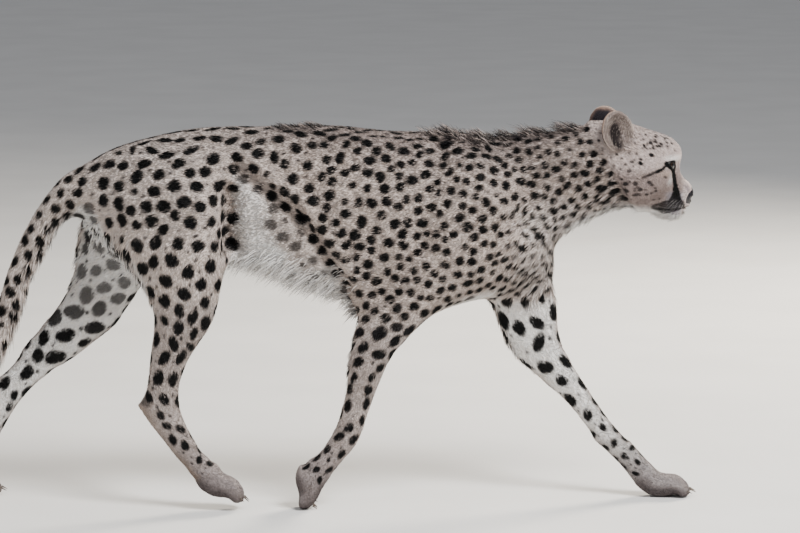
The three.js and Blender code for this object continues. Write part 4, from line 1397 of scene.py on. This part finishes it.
def claw_material():
    m = Nodes("claw")
    colour = m.speckle(220, linear(40, 33, 30), linear(96, 82, 72))
    return m.finish(Base_Color=colour, Roughness=0.35, Normal=m.bump(m.noise(700), 0.3, 0.0002))


def eye_material(hand):
    """Dark iris and round pupil, from the angle off the gaze; the iris's amber is darkened almost to black
    as painted shade.
    """
    m = Nodes(f"eye_{hand}")
    ray = m.vector("NORMALIZE", m.vector("SUBTRACT", m.position(), tuple(EYE[hand])))
    facing = m.vector("DOT_PRODUCT", ray, tuple(GAZE[hand]), output="Value")
    angle = m.add("ShaderNodeMath", {"operation": "ARCCOSINE"}, Value=facing)
    # The iris's amber, darkened almost to black as painted shade.
    stops = [(0.0, linear(4, 4, 5)), (0.28, linear(5, 5, 6)), (0.31, linear(24, 15, 9)),
             (0.45, linear(34, 22, 12)), (0.62, linear(20, 14, 9)), (0.68, linear(10, 8, 7)),
             (0.90, linear(18, 15, 14))]
    disc = m.ramp(angle.outputs[0], stops)
    fibres = m.speckle(900, (0.7, 0.7, 0.7), (1.0, 1.0, 1.0), 5)
    return m.finish(Base_Color=m.times(disc, fibres, 0.7), Roughness=0.16,
                    Specular_IOR_Level=0.3, Coat_Weight=0.12, Coat_Roughness=0.03)


def floor_material():
    m = Nodes("floor")
    colour = m.speckle(3, linear(216, 214, 210), linear(222, 220, 216), 2)
    return m.finish(Base_Color=colour, Roughness=0.9)


# ---- Eyes, whiskers, nose leather ----------------------------------------------------------------

def eyeball(hand):
    mesh = bpy.data.meshes.new(f"eyeball_{hand}")
    bm = bmesh.new()
    bmesh.ops.create_uvsphere(bm, u_segments=48, v_segments=32, radius=EYE_RADIUS - 0.0002)
    for v in bm.verts:
        p = np.array(v.co)
        bulge = smoothstep(math.cos(0.75), 1.0, dot(unit(p), GAZE[hand]))
        v.co = Vector(p * (1 + 0.035 * bulge) + EYE[hand])
    bm.to_mesh(mesh)
    bm.free()
    mesh.shade_smooth()
    mesh.materials.append(eye_material(hand))
    obj = link(f"eyeball_{hand}", mesh)
    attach(obj, "root")
    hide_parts(f"eye_{hand}")


def leather(s):
    """Marks the nose as bare leather and gives its faces their own material."""
    f, a, u = (in_head(s.co) * 1000).T
    a = np.abs(a)
    back = np.interp(u, [-92, -84, -72, -62, -56], [44, 43, 43, 49, 58])
    edge = f - back - 0.25 * np.maximum(0, 10 - a) * smoothstep(-64, -58, u)
    low = -90 + 0.30 * a
    s.bare = smoothstep(-0.8, 0.8, edge) * smoothstep(low - 0.8, low + 0.8, u) * (u < -50)
    faces = s.obj.data.polygons
    corner = read(faces, "vertices", 3, np.int32)
    slot = (s.bare[corner].mean(1) > 0.5).astype(np.int32)
    faces.foreach_set("material_index", slot)


WHISKER_RINGS = 7
WHISKER_HALF = 0.00018  # half its width at the root


def whiskers(s):
    """Long pale hairs that stand out of the whisker pads and the brows."""
    rng = np.random.default_rng(12)
    h = in_head(s.co) * 1000
    roots = [(38 - 7 * j, -76 - 5 * row + 0.5 * j) for row in range(3) for j in range(4)]
    points, faces, uvs = [], [], []
    for k in (1.0, -1.0):
        side = np.flatnonzero((h[:, 1] * k > 3) & (s.head > 0.3))
        for f, u in roots + [(12, 14), (6, 15), (0, 14)]:
            f, u = f + rng.normal(), u + rng.normal()
            i = vertex_at(h, side, f, u)
            up = 0.5 if u > 0 else rng.uniform(-0.30, 0.05)
            way = unit(0.9 * s.n[i] + head_way(-0.75, 0.5 * k, up))
            length = rng.uniform(0.020, 0.030) if u > 0 else rng.uniform(0.030, 0.050)
            across = unit(np.cross(way, UP))
            over = np.cross(across, way)
            start = len(points)
            place = pattern_places(s, [s.co[i]])[0]
            for step in np.linspace(0, 1, WHISKER_RINGS):
                middle = s.co[i] + way * length * step
                middle = middle - (0.25 * UP + 0.15 * H_FRONT) * length * step ** 2
                half = WHISKER_HALF * (1 - 0.8 * step)
                for turn in (0, 2 * math.pi / 3, 4 * math.pi / 3):
                    points.append(middle + half * (math.cos(turn) * across + math.sin(turn) * over))
                    uvs.append(place + TUFT_ON_MAP * np.array([turn / 4.2 - 0.5, step - 0.5]))
            for ring in range(WHISKER_RINGS - 1):
                for j in range(3):
                    a, b = start + 3 * ring + j, start + 3 * ring + (j + 1) % 3
                    faces.append((a, b, b + 3, a + 3))
            faces.append((start, start + 2, start + 1))
            last = len(points) - 3
            faces.append((last, last + 1, last + 2))
    mesh = bpy.data.meshes.new("whiskers")
    mesh.from_pydata(points, [], faces)
    mesh.shade_smooth()
    corner = read(mesh.loops, "vertex_index", 1, np.int32).ravel()
    bake_map(mesh, np.array(uvs)[corner])
    m = Nodes("whisker")
    colour = m.speckle(90, linear(140, 135, 131), linear(186, 181, 176))
    mesh.materials.append(m.finish(Base_Color=colour, Roughness=0.4))
    obj = link("whiskers", mesh)
    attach(obj, "root")


# ---- Making it ---------------------------------------------------------------------------------

skin = make_skin()
triangles(skin)
lay_coat(skin)
coat_grounds(skin)
SPOTS = Spots()
dart_spots(skin, SPOTS)
face_spots(skin, SPOTS)
SPOTS.close()
skin_colour = paint(skin.co, skin.ground)
colour_attribute(skin.obj.data, np.clip(skin_colour * 0.92, 0.003, 0.95))
skin.obj.data.materials.append(coat_material("skin", 0.0006))
skin.obj.data.materials.append(leather_material())
leather(skin)
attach(skin.obj, "root")
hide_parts(*FLESH)
unwrap(skin)
grow_coat(skin, coat_material("coat", 0.0003))
whiskers(skin)
for hand in SIDES:
    eyeball(hand)
claw_finish = claw_material()
for name in CLAWS:
    NODES[name].data.materials.clear()
    NODES[name].data.materials.append(claw_finish)


# ---- Stage ---------------------------------------------------------------------------------------

def floor():
    bpy.ops.mesh.primitive_plane_add(size=120)
    obj = bpy.context.active_object
    obj.name = "floor"
    obj.data.materials.append(floor_material())


def lamp(name, at, aim, size, power, colour=(1, 1, 1)):
    light = bpy.data.lights.new(name, "AREA")
    light.size = size
    light.energy = power
    light.color = colour
    obj = link(name, light)
    obj.location = at
    obj.rotation_euler = (Vector(aim) - Vector(at)).to_track_quat("-Z", "Y").to_euler()


def camera():
    data = bpy.data.cameras.new("camera")
    data.sensor_width = 36
    data.lens = 173.03
    obj = link("camera", data)
    obj.location = (0.24105, -7.99873, 1.6)
    obj.rotation_euler = (math.radians(90 - 7.808), 0, 0)
    bpy.context.scene.camera = obj


floor()
lamp("key", (2.6, -2.8, 4.6), (0, 0, 0.5), 2.0, 560)
lamp("fill", (-3.4, -3.6, 2.2), (0, 0, 0.5), 4.0, 70)
lamp("rim", (2.8, 3.4, 2.8), (0, 0, 0.6), 1.6, 420, (1.0, 0.92, 0.80))
world = bpy.data.worlds.new("world")
bpy.context.scene.world = world
world.use_nodes = True
world.node_tree.nodes["Background"].inputs["Color"].default_value = (0.9, 0.93, 1.0, 1)
world.node_tree.nodes["Background"].inputs["Strength"].default_value = 0.36
camera()
